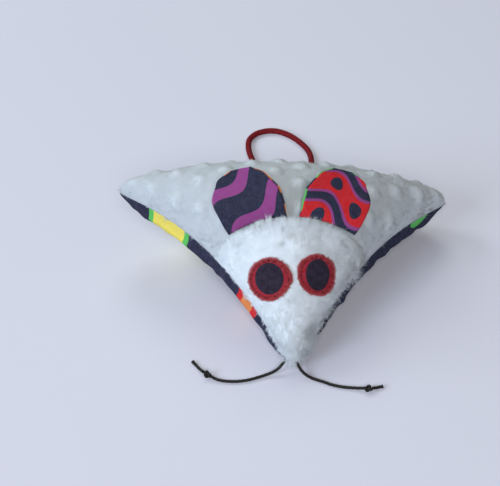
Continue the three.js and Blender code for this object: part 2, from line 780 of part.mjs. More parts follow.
addMesh('body_panel', geometryFrom(wasm.Manifold.union([topPanelPart(1), ...bodyDots()])), plush());
addMesh('head_panel', geometryFrom(topPanelPart(-1)), plush());
addMesh('belly_panel', bellyPanel(), printedCotton());
addMesh('stuffing', stuffingGeometry(), filling());
addMesh('right_side_thread', seamThread(0), sewingThread());
addMesh('rear_thread', seamThread(THIRD_TURN), sewingThread());
addMesh('left_side_thread', seamThread(2 * THIRD_TURN), sewingThread());
addMesh('head_seam_thread', headSeamThread(), sewingThread());
addEar('left_ear', LEFT_EAR_SHARES, -1);
addEar('right_ear', RIGHT_EAR_SHARES, 1);
addEye('left_eye', LEFT_EYE, LEFT_EYE_SHARES);
addEye('right_eye', RIGHT_EYE, RIGHT_EYE_SHARES);
addWhisker('left_whisker', LEFT_WHISKER_ROUTE, LEFT_KNOT, LEFT_END_ROUTE);
addWhisker('right_whisker', RIGHT_WHISKER_ROUTE, RIGHT_KNOT, RIGHT_END_ROUTE);
addMesh('tail_loop', tube(vectors(TAIL_ROUTE), TAIL_DIAMETER, CORD_SIDES, TAIL_STEPS), redCord());

export default toy;
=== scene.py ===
import json
import math
from contextlib import contextmanager

import bmesh
import bpy
import numpy as np
from bpy.props import FloatProperty, FloatVectorProperty, PointerProperty
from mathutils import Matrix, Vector
from mathutils.bvhtree import BVHTree

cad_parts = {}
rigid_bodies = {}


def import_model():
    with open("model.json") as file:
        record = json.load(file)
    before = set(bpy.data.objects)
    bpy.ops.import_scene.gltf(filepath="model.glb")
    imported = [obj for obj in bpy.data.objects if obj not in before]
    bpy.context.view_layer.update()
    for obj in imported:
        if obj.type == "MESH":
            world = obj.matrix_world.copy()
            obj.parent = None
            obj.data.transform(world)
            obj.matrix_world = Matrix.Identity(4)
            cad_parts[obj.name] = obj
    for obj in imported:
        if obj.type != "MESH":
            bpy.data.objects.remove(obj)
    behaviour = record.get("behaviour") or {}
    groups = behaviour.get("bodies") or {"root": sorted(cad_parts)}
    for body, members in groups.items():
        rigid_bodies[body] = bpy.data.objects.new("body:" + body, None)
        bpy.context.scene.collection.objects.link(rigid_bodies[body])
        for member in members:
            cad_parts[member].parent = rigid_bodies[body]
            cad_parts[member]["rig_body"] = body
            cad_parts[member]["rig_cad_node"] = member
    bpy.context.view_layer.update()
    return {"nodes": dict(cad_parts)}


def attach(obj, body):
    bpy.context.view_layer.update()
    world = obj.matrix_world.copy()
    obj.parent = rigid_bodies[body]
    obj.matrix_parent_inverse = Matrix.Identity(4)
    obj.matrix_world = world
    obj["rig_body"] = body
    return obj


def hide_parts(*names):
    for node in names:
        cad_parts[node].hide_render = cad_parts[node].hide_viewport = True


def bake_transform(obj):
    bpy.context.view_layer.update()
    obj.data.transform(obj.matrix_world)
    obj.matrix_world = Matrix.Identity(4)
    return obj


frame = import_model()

bl_info = {
    "name": "Plush toy mouse",
    "version": (1, 0, 0),
    "blender": (4, 5, 0),
    "location": "3D View > Sidebar > Toy",
    "description": "Makes the cloth, plush, eyes, ears and cords of a stuffed toy mouse round its frame",
    "category": "Object",
}

MM = 0.001
SEED = 41

# The pillow's shape, in millimetres, as in the part's own source.
HALF_SPAN = 131.0
NOSE_REACH = 143.0
BACK_BOW = 13.0
SIDE_HOLLOW = 16.4
WING_RISE = 38.0
BACK_DIP = 4.6
SIDE_ARCH = 16.7
TOP_SWELL = 42.3
BELLY_SWELL = 40.0
TOP_POWER = 0.4
BELLY_POWER = 0.5
TOP_LOAD = 0.12
BELLY_LOAD = 0.2
CORNER_ROUND = 0.03
NOSE_ROUND = 0.8
NOSE_ROUND_POWER = 4
LEAN = math.radians(6.5)
FLOOR_LEVEL = 1.6
FLOOR_SOFTNESS = 1.5
CENTRE = np.array([4.3384, -57.2478, 2.1569])
SEAM_LIFT = 0.6
HEAD_SEAM = -59.3 - CENTRE[1]
SEAM_BOW = 4.4
SEAM_BOW_WIDTH = 31.0
THIRD_TURN = 2 * math.pi / 3

# Where the lattice of raised dots lies on the cloth, and how far the cloth lies under the pile's surface.
DOT_TURN = math.radians(22)
DOT_SHIFT = (12.6, 30.8)
PILE_DEPTH = 1.2

# Small dents in the head: where they are, and how deep.
CROWN_DENTS = ((-5.5, -17.2, 1.1), (-36.0, -13.1, 0.8), (36.5, -10.7, 1.1))

# Where the snout's longer fibres start, and its middle.
NOSE_START = -45.0
NOSE_BLEND = 18.0
NOSE_MIDDLE = -4.5

# The fine grid that the panels are made on.
SPOKES = 480
RINGS = 104
CROWDING = 0.35

# Ears, in millimetres.
EAR_LENGTH = 36.9
EAR_WIDTH = 46.0
EAR_BEND = 10.0
EAR_TILT = math.radians(27.5)
EAR_CUP = 1.2
EAR_LIFT = 0.9
EAR_SEAT = 0.75
EAR_FOLLOW = 0.75
EAR_ROWS = 36
EAR_OUTER = (0.43, 0.47, 0.51, 0.55, 0.565, 0.535, 0.485, 0.43, 0.23)
EAR_INNER = (0.43, 0.43, 0.43, 0.41, 0.4, 0.34, 0.275, 0.2, 0.04)
EARS = {"left_ear": ((0.085, 0.445), -1), "right_ear": ((0.515, 0.865), 1)}

# Eyes: where the middle is, how far the edge is every 30 degrees, and the printed pupil's place and size.
# The tilt of an eye is read from the plush at EYE_PROBE to each side of its middle.
EYE_RADIUS = 13.7
EYE_PROBE = 2.5
EYE_SPOKES = 120
EYE_RINGS = 20
EYES = {
    "left_eye": {
        "middle": (-15.9, -33.2),
        "edge": (1.06, 1.0, 1.0, 1.0, 1.0, 1.04, 1.09, 1.08, 1.02, 0.97, 0.93, 0.96),
        "pupil": (-0.3, 0.7, 9.7, 10.3),
    },
    "right_eye": {
        "middle": (14.4, -31.6),
        "edge": (0.97, 1.0, 0.97, 0.98, 0.99, 1.0, 0.95, 0.93, 0.9, 0.91, 1.0, 1.04),
        "pupil": (0.5, 0.5, 8.7, 10.3),
    },
}

# Cord routes, in millimetres.
WHISKERS = {
    "left_whisker": {
        "route": (
            (-7.9, -68.0, 7.6), (-9.4, -70.0, 6.8), (-12.9, -73.0, 4.5), (-17.3, -74.6, 2.5), (-22.2, -75.8, 1.4),
            (-27.0, -77.1, 1.1), (-31.6, -78.4, 1.1), (-36.0, -79.1, 1.1), (-40.5, -79.4, 1.1), (-45.0, -79.1, 1.1),
            (-49.4, -78.4, 1.2), (-53.6, -77.1, 1.6), (-57.0, -75.2, 2.3),
        ),
        "knot": (-59.4, -73.4, 2.5),
        "end": ((-61.7, -71.2, 2.2), (-64.2, -67.9, 1.4), (-66.4, -64.6, 1.1), (-68.7, -61.2, 1.1)),
    },
    "right_whisker": {
        "route": (
            (-1.2, -69.8, 6.5), (-0.5, -72.0, 5.9), (1.3, -75.3, 4.3), (4.0, -77.8, 2.6), (7.4, -79.8, 1.4),
            (11.1, -81.6, 1.1), (15.0, -83.4, 1.1), (19.2, -85.6, 1.1), (23.6, -87.3, 1.1), (28.0, -88.5, 1.1),
            (32.4, -89.3, 1.2), (36.6, -90.2, 1.6), (40.2, -91.0, 2.3),
        ),
        "knot": (43.0, -91.5, 2.5),
        "end": ((45.8, -91.2, 2.2), (48.3, -90.4, 1.3), (50.4, -89.8, 1.1), (52.8, -89.4, 1.1)),
    },
}
TAIL_ROUTE = (
    (-4.9, 70.25, 31.6), (-4.9, 75.5, 31.4), (-5.4, 84.0, 28.5), (-6.6, 91.5, 22.8), (-8.6, 99.0, 15.5),
    (-11.2, 107.5, 8.0), (-14.0, 117.0, 3.6), (-16.4, 126.5, 2.2), (-18.9, 136.5, 2.1), (-21.2, 150.0, 2.1),
    (-20.2, 161.0, 2.1), (-14.9, 168.2, 2.1), (-7.4, 171.4, 2.1), (0.1, 171.5, 2.1), (7.5, 168.5, 2.1),
    (15.0, 162.3, 2.1), (21.5, 153.5, 2.1), (25.9, 144.5, 2.1), (27.3, 134.5, 2.1), (25.9, 123.5, 2.4),
    (22.7, 113.0, 5.0), (18.9, 103.5, 11.0), (15.1, 95.0, 18.5), (11.9, 86.5, 25.3), (9.3, 76.5, 29.8),
    (9.1, 70.25, 30.0),
)

# Thicknesses of the cloth, how far its sheets lie off the seam's own sheet, and half the gap at the head seam.
PLUSH_THICKNESS = 1.3
BELLY_THICKNESS = 0.9
EAR_THICKNESS = 0.5
EYE_THICKNESS = 0.45
SHEET_LIFT = 0.15
PANEL_GAP = 0.03

# The belly's grid, and how far its cloth bulges beside the right and the left front seam.
BELLY_SPOKES = 300
BELLY_RINGS = 60
FLANK_BULGE = (3.4, 2.2)

# Fibres: how many each plush has, how wide they are, the places that they are brushed away from, and how far
# ahead of the head seam the fringe before the ears is, and how deep.
FIBRES = 49500
FIBRE_WIDTHS = (0.11, 0.22)
BODY_MIDDLE = np.array([0.0, 12.0, 0.0])
HEAD_MIDDLE = np.array([0.0, -32.0, 0.0])
FRINGE_AHEAD = 2.3
FRINGE_DEPTH = 1.8

# Cords, knots and stitches: their strands, how far one turn of these takes, and their radii in millimetres.
TAIL_SIDES = 24
BRAID_STRANDS = 6
BRAID_PITCH = 8.4
WHISKER_SIDES = 16
LAY_PITCH = 9
KNOT_SIZE = 1.65
EYE_TEETH = 66
EYE_THREAD_RADIUS = 0.27
STITCH_LENGTH = 2.6
SEAM_THREAD_RADIUS = 0.24

# The filling: its voxels in metres, how far it is drawn in before it swells, and how far it may swell.
VOXEL = 0.0045
DRAWN_IN = 2.5
SWELL_CAP = 1.5

# How many halvings find a place on a seam, the floor's radius in metres, and the camera that fits the photo.
HALVINGS = 44
FLOOR_RADIUS = 1.9
CAMERA_PLACE = (-0.04367, -0.49918, 0.54789)
CAMERA_TURNS = (0.783764, 0.018194, -0.051515)
CAMERA_LENS = 76.447

# Lamps: where each is, and its colour. All are as large and look at the toy.
LAMP_SIZE = 1.5
LAMPS = {
    "window": ((-2.70, -1.56, 1.80), (0.78, 0.87, 1.0)),
    "front": ((0.0, -2.55, 2.55), (1.0, 0.95, 0.92)),
    "back": ((0.0, 2.55, 2.55), (0.98, 1.0, 0.87)),
    "side": ((-2.55, 1.47, 2.07), (0.94, 0.98, 1.0)),
}


def length_setting(name, about, default):
    """A length in metres."""
    return FloatProperty(name=name, description=about, default=default, unit="LENGTH")


def share_setting(name, about, default):
    """A number from 0 to 1."""
    return FloatProperty(name=name, description=about, default=default, min=0, max=1)


def colour_setting(name, about, default):
    """A colour."""
    return FloatVectorProperty(name=name, description=about, default=default, subtype="COLOR", min=0, max=1)


class PlushSettings(bpy.types.PropertyGroup):
    """Sizes and colours of the plush."""

    dot_spacing: length_setting("Dot spacing", "From one raised dot to the next", 0.0195)
    dot_diameter: length_setting("Dot diameter", "Across a raised dot's foot", 0.014)
    dot_height: length_setting("Dot height", "How far a dot stands up", 0.0021)
    body_pile: length_setting("Body pile", "Length of the fibres on the body", 0.0021)
    head_pile: length_setting("Head pile", "Length of the fibres on the head", 0.0029)
    # The body's and the head's plush are one cloth. The body's colour is darker as painted shade, for the shading of
    # its dotted pile.
    body: colour_setting("Body colour", "Pale blue-white of the dotted plush", (0.565, 0.640, 0.705))
    head: colour_setting("Head colour", "Pale blue-white of the smooth plush", (0.735, 0.828, 0.910))
    depth: share_setting("Depth", "How pale the plush still is between its fibres", 0.95)
    # Painted shade: the plush between the raised dots and near the body's seams is darkened by this share.
    shaded: share_setting("Pressed", "How pale the pressed plush between the dots still is", 0.86)


class ClothSettings(bpy.types.PropertyGroup):
    """Sizes and colours of the printed cotton."""

    band: length_setting("Band width", "Across one printed band", 0.0125)
    thread: length_setting("Thread", "From one thread of the weave to the next", 0.00045)
    ground: colour_setting("Ground", "Navy ground of the print", (0.019, 0.022, 0.048))
    purple: colour_setting("Purple", "Purple of the print", (0.262, 0.052, 0.223))
    red: colour_setting("Red", "Red of the print", (0.578, 0.015, 0.017))
    yellow: colour_setting("Yellow", "Yellow of the print", (0.791, 0.680, 0.115))
    green: colour_setting("Green", "Green of the print", (0.102, 0.515, 0.102))
    orange: colour_setting("Orange", "Orange of the print", (0.680, 0.223, 0.060))
    eye_red: colour_setting("Eye red", "Red round the pupils", (0.300, 0.013, 0.022))
    pupil: colour_setting("Pupil", "Near black of the printed pupils", (0.016, 0.010, 0.021))
    stitch: colour_setting("Stitch red", "Dark red of the eyes' stitches", (0.200, 0.007, 0.012))
    stitch_gap: colour_setting("Stitch gap", "Shaded red between the stitches", (0.105, 0.006, 0.010))


class CordSettings(bpy.types.PropertyGroup):
    """Sizes and colours of the whiskers and the tail."""

    whisker: length_setting("Whisker diameter", "Across a whisker cord", 0.002)
    tail: length_setting("Tail diameter", "Across the tail cord", 0.0044)
    black: colour_setting("Whisker colour", "Waxed black", (0.009, 0.008, 0.007))
    red: colour_setting("Tail colour", "Dark red of the braid", (0.160, 0.008, 0.012))


class StageSettings(bpy.types.PropertyGroup):
    """The floor's colour and the lamps' strengths."""

    floor: colour_setting("Floor colour", "Pale lavender paper", (0.640, 0.665, 0.775))
    window: FloatProperty(name="Window", description="Watts of the cool lamp to the left of the nose", default=67.0)
    front: FloatProperty(name="Front", description="Watts of the lamp ahead of the nose", default=69.0)
    back: FloatProperty(name="Back", description="Watts of the lamp behind the tail", default=34.0)
    side: FloatProperty(name="Side", description="Watts of the lamp to the left of the tail", default=39.0)
    sky: FloatProperty(name="Sky", description="Strength of the even light", default=0.08)
    horizon: FloatProperty(name="Horizon", description="How bright the camera sees the world", default=0.70)


# Small helpers on arrays and meshes.
def unit(vectors):
    """The same vectors with length one."""
    return vectors / np.maximum(np.linalg.norm(vectors, axis=-1, keepdims=True), 1e-12)


def round_turns(count):
    """Evenly spaced turns round a circle, from 0."""
    return 2 * np.pi * np.arange(count) / count


def bell(values):
    """One at 0, falling to nothing on both sides."""
    return np.exp(-(values**2))


def last_passed(test, count):
    """For each of many, the largest number from 0 to 1 up to which the test passes, found by halving."""
    low, high = np.zeros(count), np.ones(count)
    for _ in range(HALVINGS):
        middle = (low + high) / 2
        passed = test(middle)
        low, high = np.where(passed, middle, low), np.where(passed, high, middle)
    return low


def leaned(points):
    """Points in millimetres, turned about +Y as far as the toy leans."""
    cos, sin = math.cos(LEAN), math.sin(LEAN)
    x, y, z = np.moveaxis(points, -1, 0)
    return np.stack([cos * x + sin * z, y, cos * z - sin * x], -1)


def loft(shares):
    """How full the pillow is: one in the middle, nothing on the seam."""
    edge = CORNER_ROUND * (1 + NOSE_ROUND * shares[..., 0] ** NOSE_ROUND_POWER)
    return (27 * shares.prod(-1) - edge) / (1 - edge)


def seam_sheet(shares):
    """The sheet that the seam lies in, in millimetres, before the toy leans."""
    nose, right, left = np.moveaxis(shares, -1, 0)
    side = math.hypot(HALF_SPAN, NOSE_REACH)
    hollow = SIDE_HOLLOW * 4 * nose
    x = HALF_SPAN * (right - left) - hollow * (right - left) * NOSE_REACH / side
    y = BACK_BOW * 4 * left * right - NOSE_REACH * nose + hollow * (left + right) * HALF_SPAN / side
    z = WING_RISE * (left + right) - BACK_DIP * 4 * left * right + SIDE_ARCH * 4 * (left + right) * nose
    return np.stack([x, y, z], -1)


def pillow_points(shares, top=True, lift=SEAM_LIFT):
    """Points of the top or the belly, in millimetres in the toy's frame."""
    points = seam_sheet(shares)
    full = np.maximum(0, loft(shares))
    back = 1 / 3 - shares[..., 0]
    if top:
        points[..., 2] += lift + TOP_SWELL * full**TOP_POWER * (1 + TOP_LOAD * back)
        return leaned(points) - CENTRE
    points[..., 2] -= lift + BELLY_SWELL * full**BELLY_POWER * (1 + BELLY_LOAD * back)
    points = leaned(points)
    height = (points[..., 2] - FLOOR_LEVEL) / FLOOR_SOFTNESS
    points[..., 2] = FLOOR_LEVEL + FLOOR_SOFTNESS * np.logaddexp(0, height)
    points -= CENTRE
    points[..., 2] = np.maximum(points[..., 2], 0)
    return points


def seam_bow(x):
    """How far the head seam bows forward at this distance from the middle, in millimetres."""
    return SEAM_BOW * (1 - np.exp(-((x / SEAM_BOW_WIDTH) ** 4)))


def behind_seam(points):
    """How far points lie behind the head seam, in millimetres."""
    return points[:, 1] + seam_bow(points[:, 0]) - HEAD_SEAM


def ray_shares(turns):
    """Slopes of the corner shares along rays from the middle, and how far the seam is on each."""
    slopes = np.stack([np.cos(turns), np.cos(turns - THIRD_TURN), np.cos(turns + THIRD_TURN)], -1)

    def inside(far):
        shares = 1 / 3 + far[:, None] * slopes
        return (shares.min(-1) > 0) & (loft(shares) > 0)

    return slopes, last_passed(inside, len(turns))


def disc_shares(spokes, rings, crowding=CROWDING):
    """Corner shares of a middle point and rings of points out to the seam."""
    turns = round_turns(spokes)
    slopes, seam = ray_shares(turns - crowding * np.sin(3 * turns) / 3)
    reach = np.sin(np.pi / 2 * np.arange(1, rings + 1) / rings)
    shares = 1 / 3 + (reach[:, None] * seam)[..., None] * slopes
    return np.concatenate([np.full((1, 3), 1 / 3), shares.reshape(-1, 3)])


def disc_faces(spokes, rings):
    """Faces of a middle point and rings: a fan, then quads, facing up."""
    at = 1 + np.arange(spokes)
    fan = [(0, a, b) for a, b in zip(at, np.roll(at, -1))]
    low = 1 + spokes * np.arange(rings - 1)[:, None] + np.arange(spokes)
    after = np.roll(low, -1, 1)
    return fan, np.stack([low, low + spokes, after + spokes, after], -1).reshape(-1, 4)


def triangles_of(fan, quads):
    """A disc's fan and quads as one array of triangles."""
    return np.concatenate([np.array(fan), quads[:, [0, 1, 2]], quads[:, [0, 2, 3]]])


def normals_of(points, triangles):
    """Unit normals at the points, weighted by area."""
    a, b, c = (points[triangles[:, k]] for k in range(3))
    flat = np.cross(b - a, c - a)
    normals = np.zeros_like(points)
    for k in range(3):
        np.add.at(normals, triangles[:, k], flat)
    return unit(normals)


def waves(points, lengths, seed, many=24):
    """A smooth random field over points, about -1 to 1, made of waves of these lengths."""
    rng = np.random.default_rng(seed)
    field = np.zeros(len(points))
    for _ in range(many):
        way = unit(rng.normal(size=points.shape[-1]))
        length = rng.uniform(*lengths)
        field += np.sin(points @ way * (2 * np.pi / length) + rng.uniform(0, 2 * np.pi))
    return field / math.sqrt(many / 2)


def mesh_object(name, points, faces):
    """A mesh object at the origin. Points are in millimetres, and faces all have the same number of corners."""
    faces = np.asarray(faces, np.int32)
    mesh = bpy.data.meshes.new(name)
    mesh.vertices.add(len(points))
    mesh.vertices.foreach_set("co", (np.asarray(points) * MM).astype(np.float32).ravel())
    corners = faces.shape[1]
    mesh.loops.add(faces.size)
    mesh.loops.foreach_set("vertex_index", faces.ravel())
    mesh.polygons.add(len(faces))
    mesh.polygons.foreach_set("loop_start", (np.arange(len(faces)) * corners).astype(np.int32))
    mesh.polygons.foreach_set("use_smooth", np.ones(len(faces), bool))
    mesh.update(calc_edges=True)
    mesh.validate()
    made = bpy.data.objects.new(name, mesh)
    bpy.context.scene.collection.objects.link(made)
    return made


@contextmanager
def edited(made):
    """The object's mesh opened for editing, and written back at the end."""
    build = bmesh.new()
    build.from_mesh(made.data)
    build.verts.ensure_lookup_table()
    yield build
    build.to_mesh(made.data)
    build.free()


def corner_map(made, name, places):
    """Writes a UV map, with one place for each vertex."""
    mesh = made.data
    corners = np.zeros(len(mesh.loops), np.int32)
    mesh.loops.foreach_get("vertex_index", corners)
    layer = mesh.uv_layers.new(name=name)
    layer.data.foreach_set("uv", places[corners].astype(np.float32).ravel())


def point_values(made, name, values):
    """Writes one number for each vertex."""
    made.data.attributes.new(name, "FLOAT", "POINT").data.foreach_set("value", np.asarray(values, np.float32))


def points_of(made):
    """The vertices' places in metres."""
    places = np.empty(3 * len(made.data.vertices), np.float32)
    made.data.vertices.foreach_get("co", places)
    return places.reshape(-1, 3).astype(float)


def choose(made):
    """Makes this the only selected object."""
    bpy.ops.object.select_all(action="DESELECT")
    made.select_set(True)
    bpy.context.view_layer.objects.active = made


def apply_modifier(made, kind, name, **settings):
    """Adds a modifier and applies it."""
    choose(made)
    modifier = made.modifiers.new(name, kind)
    for key, value in settings.items():
        setattr(modifier, key, value)
    bpy.ops.object.modifier_apply(modifier=modifier.name)


def thicken(made, thickness, offset=-1):
    """Gives a sheet a wall, in millimetres, to one side of it."""
    apply_modifier(made, "SOLIDIFY", "thickness", thickness=thickness * MM, offset=offset, use_rim=True)


def curve_at(values, places):
    """Reads a table as a smooth curve, from its first value at 0 to its last at 1."""
    values = np.asarray(values, float)
    last = len(values) - 1
    where = np.clip(np.asarray(places, float), 0, 1) * last
    index = np.minimum(where.astype(int), last - 1)
    t = where - index
    t = t[:, None] if values.ndim > 1 else t
    a, b, c, d = (values[np.clip(index + k, 0, last)] for k in (-1, 0, 1, 2))
    return b + 0.5 * t * (c - a + t * (2 * a - 5 * b + 4 * c - d + t * (3 * (b - c) + d - a)))


def smooth_route(route, step):
    """A route in millimetres as evenly spaced points on a smooth curve."""
    route = np.asarray(route, float)
    dense = curve_at(route, np.linspace(0, 1, 60 * len(route)))
    run = np.concatenate([[0], np.cumsum(np.linalg.norm(np.diff(dense, axis=0), axis=1))])
    count = max(2, int(round(run[-1] / step)) + 1)
    even = np.linspace(0, run[-1], count)
    return np.stack([np.interp(even, run, dense[:, k]) for k in range(3)], -1), run[-1]


def rings_along(points):
    """Two unit vectors square to a line of points at each of them, without twist."""
    along = unit(np.gradient(points, axis=0))
    side = np.zeros_like(along)
    start = np.array([0, 0, 1.0]) if abs(along[0, 2]) < 0.9 else np.array([1.0, 0, 0])
    side[0] = unit(np.cross(along[0], start))
    for index in range(1, len(points)):
        held = side[index - 1] - along[index] * (side[index - 1] @ along[index])
        side[index] = unit(held)
    return side, np.cross(along, side)


def tube_mesh(name, points, radii, sides):
    """A closed tube. radii is one number, one for each point, or one for each point and side."""
    radii = np.reshape(radii, (-1, 1)) if np.ndim(radii) == 1 else radii
    radii = np.broadcast_to(radii, (len(points), sides))
    side, other = rings_along(points)
    turns = round_turns(sides)
    circle = np.cos(turns)[None, :, None] * side[:, None] + np.sin(turns)[None, :, None] * other[:, None]
    body = (points[:, None] + radii[..., None] * circle).reshape(-1, 3)
    ring = np.arange(sides)
    low = sides * np.arange(len(points) - 1)[:, None] + ring
    faces = np.stack([low, np.roll(low, -1, 1), np.roll(low, -1, 1) + sides, low + sides], -1)
    made = mesh_object(name, body, faces.reshape(-1, 4))
    last = (len(points) - 1) * sides
    with edited(made) as build:
        build.faces.new([build.verts[i] for i in ring[::-1]])
        build.faces.new([build.verts[last + i] for i in ring])
        bmesh.ops.recalc_face_normals(build, faces=build.faces)
    return made


def finish_piece(made, material, body, slot, *replaced):
    """Gives the piece its material, says what it rides on, and hides the parts that it stands for. The slot is not
    used.
    """
    made.data.materials.append(material)
    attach(made, body)
    if replaced:
        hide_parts(*replaced)


# Shader nodes. Each shared group gives out only colours and heights.
def feed(tree, value, socket):
    """Links an output socket, or sets a number or a colour."""
    if isinstance(value, bpy.types.NodeSocket):
        tree.links.new(value, socket)
    else:
        socket.default_value = value if isinstance(value, (int, float)) else (*value, 1)


def node_with(tree, kind, **inputs):
    """A shader node whose named inputs take sockets or numbers."""
    node = tree.nodes.new("ShaderNode" + kind)
    for key, value in inputs.items():
        feed(tree, value, node.inputs[key.replace("_", " ")])
    return node


def calculator(tree):
    """Returns a function that adds a Math node fed by sockets or numbers and gives its output."""

    def run(operation, *values):
        node = tree.nodes.new("ShaderNodeMath")
        node.operation = operation
        for socket, value in zip(node.inputs, values):
            feed(tree, value, socket)
        return node.outputs[0]

    return run


def mix_colour(tree, share, first, second, blend="MIX"):
    """Mixes two colours, each a socket or a value, as an output socket."""
    node = tree.nodes.new("ShaderNodeMix")
    node.data_type, node.blend_type = "RGBA", blend
    for key, value in (("Factor", share), (6, first), (7, second)):
        feed(tree, value, node.inputs[key])
    return node.outputs[2]


def noise_node(tree, vector, scale, detail=2):
    """A noise texture's value."""
    return node_with(tree, "TexNoise", Vector=vector, Scale=scale, Detail=detail).outputs["Fac"]


def two_parts(tree, vector):
    """The first two numbers of a vector."""
    return node_with(tree, "SeparateXYZ", Vector=vector).outputs[:2]


def map_node(tree, name):
    """The piece's own UV map as a vector."""
    node = tree.nodes.new("ShaderNodeUVMap")
    node.uv_map = name
    return node.outputs["UV"]


def object_place(tree):
    """Object coordinates as a vector."""
    return tree.nodes.new("ShaderNodeTexCoord").outputs["Object"]


def new_group(name, inputs, outputs):
    """An empty shader group with named sockets."""
    group = bpy.data.node_groups.new(name, "ShaderNodeTree")
    for label, kind, value in inputs:
        socket = group.interface.new_socket(label, in_out="INPUT", socket_type=f"NodeSocket{kind}")
        if value is not None:
            socket.default_value = value
    for label, kind in outputs:
        group.interface.new_socket(label, in_out="OUTPUT", socket_type=f"NodeSocket{kind}")
    return group, group.nodes.new("NodeGroupInput").outputs, group.nodes.new("NodeGroupOutput").inputs


def group_node(tree, name, make, values):
    """A node of a shared group, which is made the first time it is asked for."""
    node = tree.nodes.new("ShaderNodeGroup")
    node.node_tree = bpy.data.node_groups.get(name) or make(name)
    for label, value in values.items():
        feed(tree, value, node.inputs[label])
    return node


def weave_group(name):
    """Plain weave of a cloth map in metres: a height and a fine mottle of the threads."""
    group, given, result = new_group(
        name, [("Vector", "Vector", None), ("Thread", "Float", 0.00045)], [("Height", "Float"), ("Mottle", "Float")]
    )
    run = calculator(group)
    place = given["Vector"]
    warp, weft = (
        run("SINE", run("MULTIPLY", run("DIVIDE", part, given["Thread"]), math.pi))
        for part in two_parts(group, place)
    )
    ribs = run("ADD", run("ABSOLUTE", warp), run("ABSOLUTE", weft))
    feed(group, run("MULTIPLY_ADD", run("MULTIPLY", warp, weft), 0.4, ribs), result["Height"])
    coarse = run("MULTIPLY", noise_node(group, place, 260), 0.3)
    feed(group, run("MULTIPLY_ADD", noise_node(group, place, 1400, 3), 0.7, coarse), result["Mottle"])
    return group


def print_group(name):
    """A print of wavy bands with rows of dots, on a cloth map in metres."""
    colours = ("Ground", "First", "First edge", "Second", "Second edge")
    numbers = (("Band", 0.0125), ("Width", 0.52), ("Edge", 0.14), ("Dot", 0.25), ("Odd", 1.0))
    group, given, result = new_group(
        name,
        [("Vector", "Vector", None)] + [(label, "Float", value) for label, value in numbers]
        + [(label, "Color", (0.5, 0.5, 0.5, 1)) for label in colours],
        [("Color", "Color")],
    )
    run = calculator(group)
    x, y = (run("DIVIDE", part, given["Band"]) for part in two_parts(group, given["Vector"]))
    across = run("ADD", y, run("MULTIPLY", run("SINE", run("MULTIPLY", x, 2.1)), 0.34))
    # Bands repeat every two widths. Odd ones take the second colours.
    count = run("FLOOR", run("DIVIDE", across, 2.0))
    within = run("SUBTRACT", across, run("MULTIPLY", count, 2.0))
    off = run("ABSOLUTE", run("SUBTRACT", within, 1.0))
    odd = run("MODULO", run("ABSOLUTE", count), 2.0)
    narrower = run("MULTIPLY", odd, run("SUBTRACT", 1.0, given["Odd"]))
    wide = run("MULTIPLY", given["Width"], run("SUBTRACT", 1.0, narrower))
    band = run("LESS_THAN", off, wide)
    edge = run("LESS_THAN", off, run("ADD", wide, given["Edge"]))
    # Dots lie along the middle of each band, one and a half widths apart.
    dot_x = run("MULTIPLY", run("SUBTRACT", run("FRACT", run("DIVIDE", x, 1.5)), 0.5), 1.5)
    far = run("SQRT", run("ADD", run("POWER", run("ABSOLUTE", dot_x), 2.0), run("POWER", off, 2.0)))
    inner = mix_colour(group, odd, given["First"], given["Second"])
    rim = mix_colour(group, odd, given["First edge"], given["Second edge"])
    colour = mix_colour(group, band, mix_colour(group, edge, given["Ground"], rim), inner)
    feed(group, mix_colour(group, run("LESS_THAN", far, given["Dot"]), colour, given["Ground"]), result["Color"])
    return group


def specks_group(name):
    """Specks of two colours on a surface, and a height that follows them."""
    group, given, result = new_group(
        name,
        [("Vector", "Vector", None), ("Scale", "Float", 1000), ("Detail", "Float", 2)]
        + [(label, "Color", (0.5, 0.5, 0.5, 1)) for label in ("Dark", "Pale")],
        [("Color", "Color"), ("Height", "Float")],
    )
    speck = noise_node(group, given["Vector"], given["Scale"], given["Detail"])
    feed(group, mix_colour(group, speck, given["Dark"], given["Pale"]), result["Color"])
    feed(group, speck, result["Height"])
    return group


def plush_group(name):
    """Plush that is darker between its fibres, by a noise, and with painted shade between its raised dots."""
    group, given, result = new_group(
        name,
        [("Noise", "Float", 0.5), ("Low", "Float", 0.3), ("High", "Float", 0.6), ("Raised", "Float", 1)]
        + [(label, "Color", (0.5, 0.5, 0.5, 1)) for label in ("Dark", "Pale", "Pressed")],
        [("Color", "Color")],
    )
    ramp = node_with(group, "MapRange", Value=given["Noise"], From_Min=given["Low"], From_Max=given["High"])
    varied = mix_colour(group, ramp.outputs["Result"], given["Dark"], given["Pale"])
    shade = mix_colour(group, given["Raised"], given["Pressed"], (1, 1, 1))
    feed(group, mix_colour(group, 1, varied, shade, "MULTIPLY"), result["Color"])
    return group


def material_base(name, roughness, **values):
    """A material with a Principled BSDF whose plain values are set on its own sockets."""
    material = bpy.data.materials.new(name)
    material.use_nodes = True
    shader = material.node_tree.nodes["Principled BSDF"]
    shader.inputs["Roughness"].default_value = roughness
    for key, value in values.items():
        shader.inputs[key.replace("_", " ")].default_value = value
    return material, material.node_tree, shader


def bump(tree, shader, height, strength, distance):
    """Feeds a height to the shader's normal."""
    node = node_with(tree, "Bump", Height=height, Strength=strength, Distance=distance)
    tree.links.new(node.outputs["Normal"], shader.inputs["Normal"])


def tinted(colour, factor, more=0):
    """A lighter or darker colour."""
    return tuple(min(1, c * factor + more) for c in colour)


def speckled(name, roughness, scale, dark, pale, strength, distance, detail=2, **values):
    """A material with fine specks of two colours that also stand out a little."""
    material, tree, shader = material_base(name, roughness, **values)
    given = {"Vector": object_place(tree), "Scale": scale, "Detail": detail, "Dark": dark, "Pale": pale}
    specks = group_node(tree, "Specks", specks_group, given).outputs
    feed(tree, specks["Color"], shader.inputs["Base Color"])
    bump(tree, shader, specks["Height"], strength, distance)
    return material


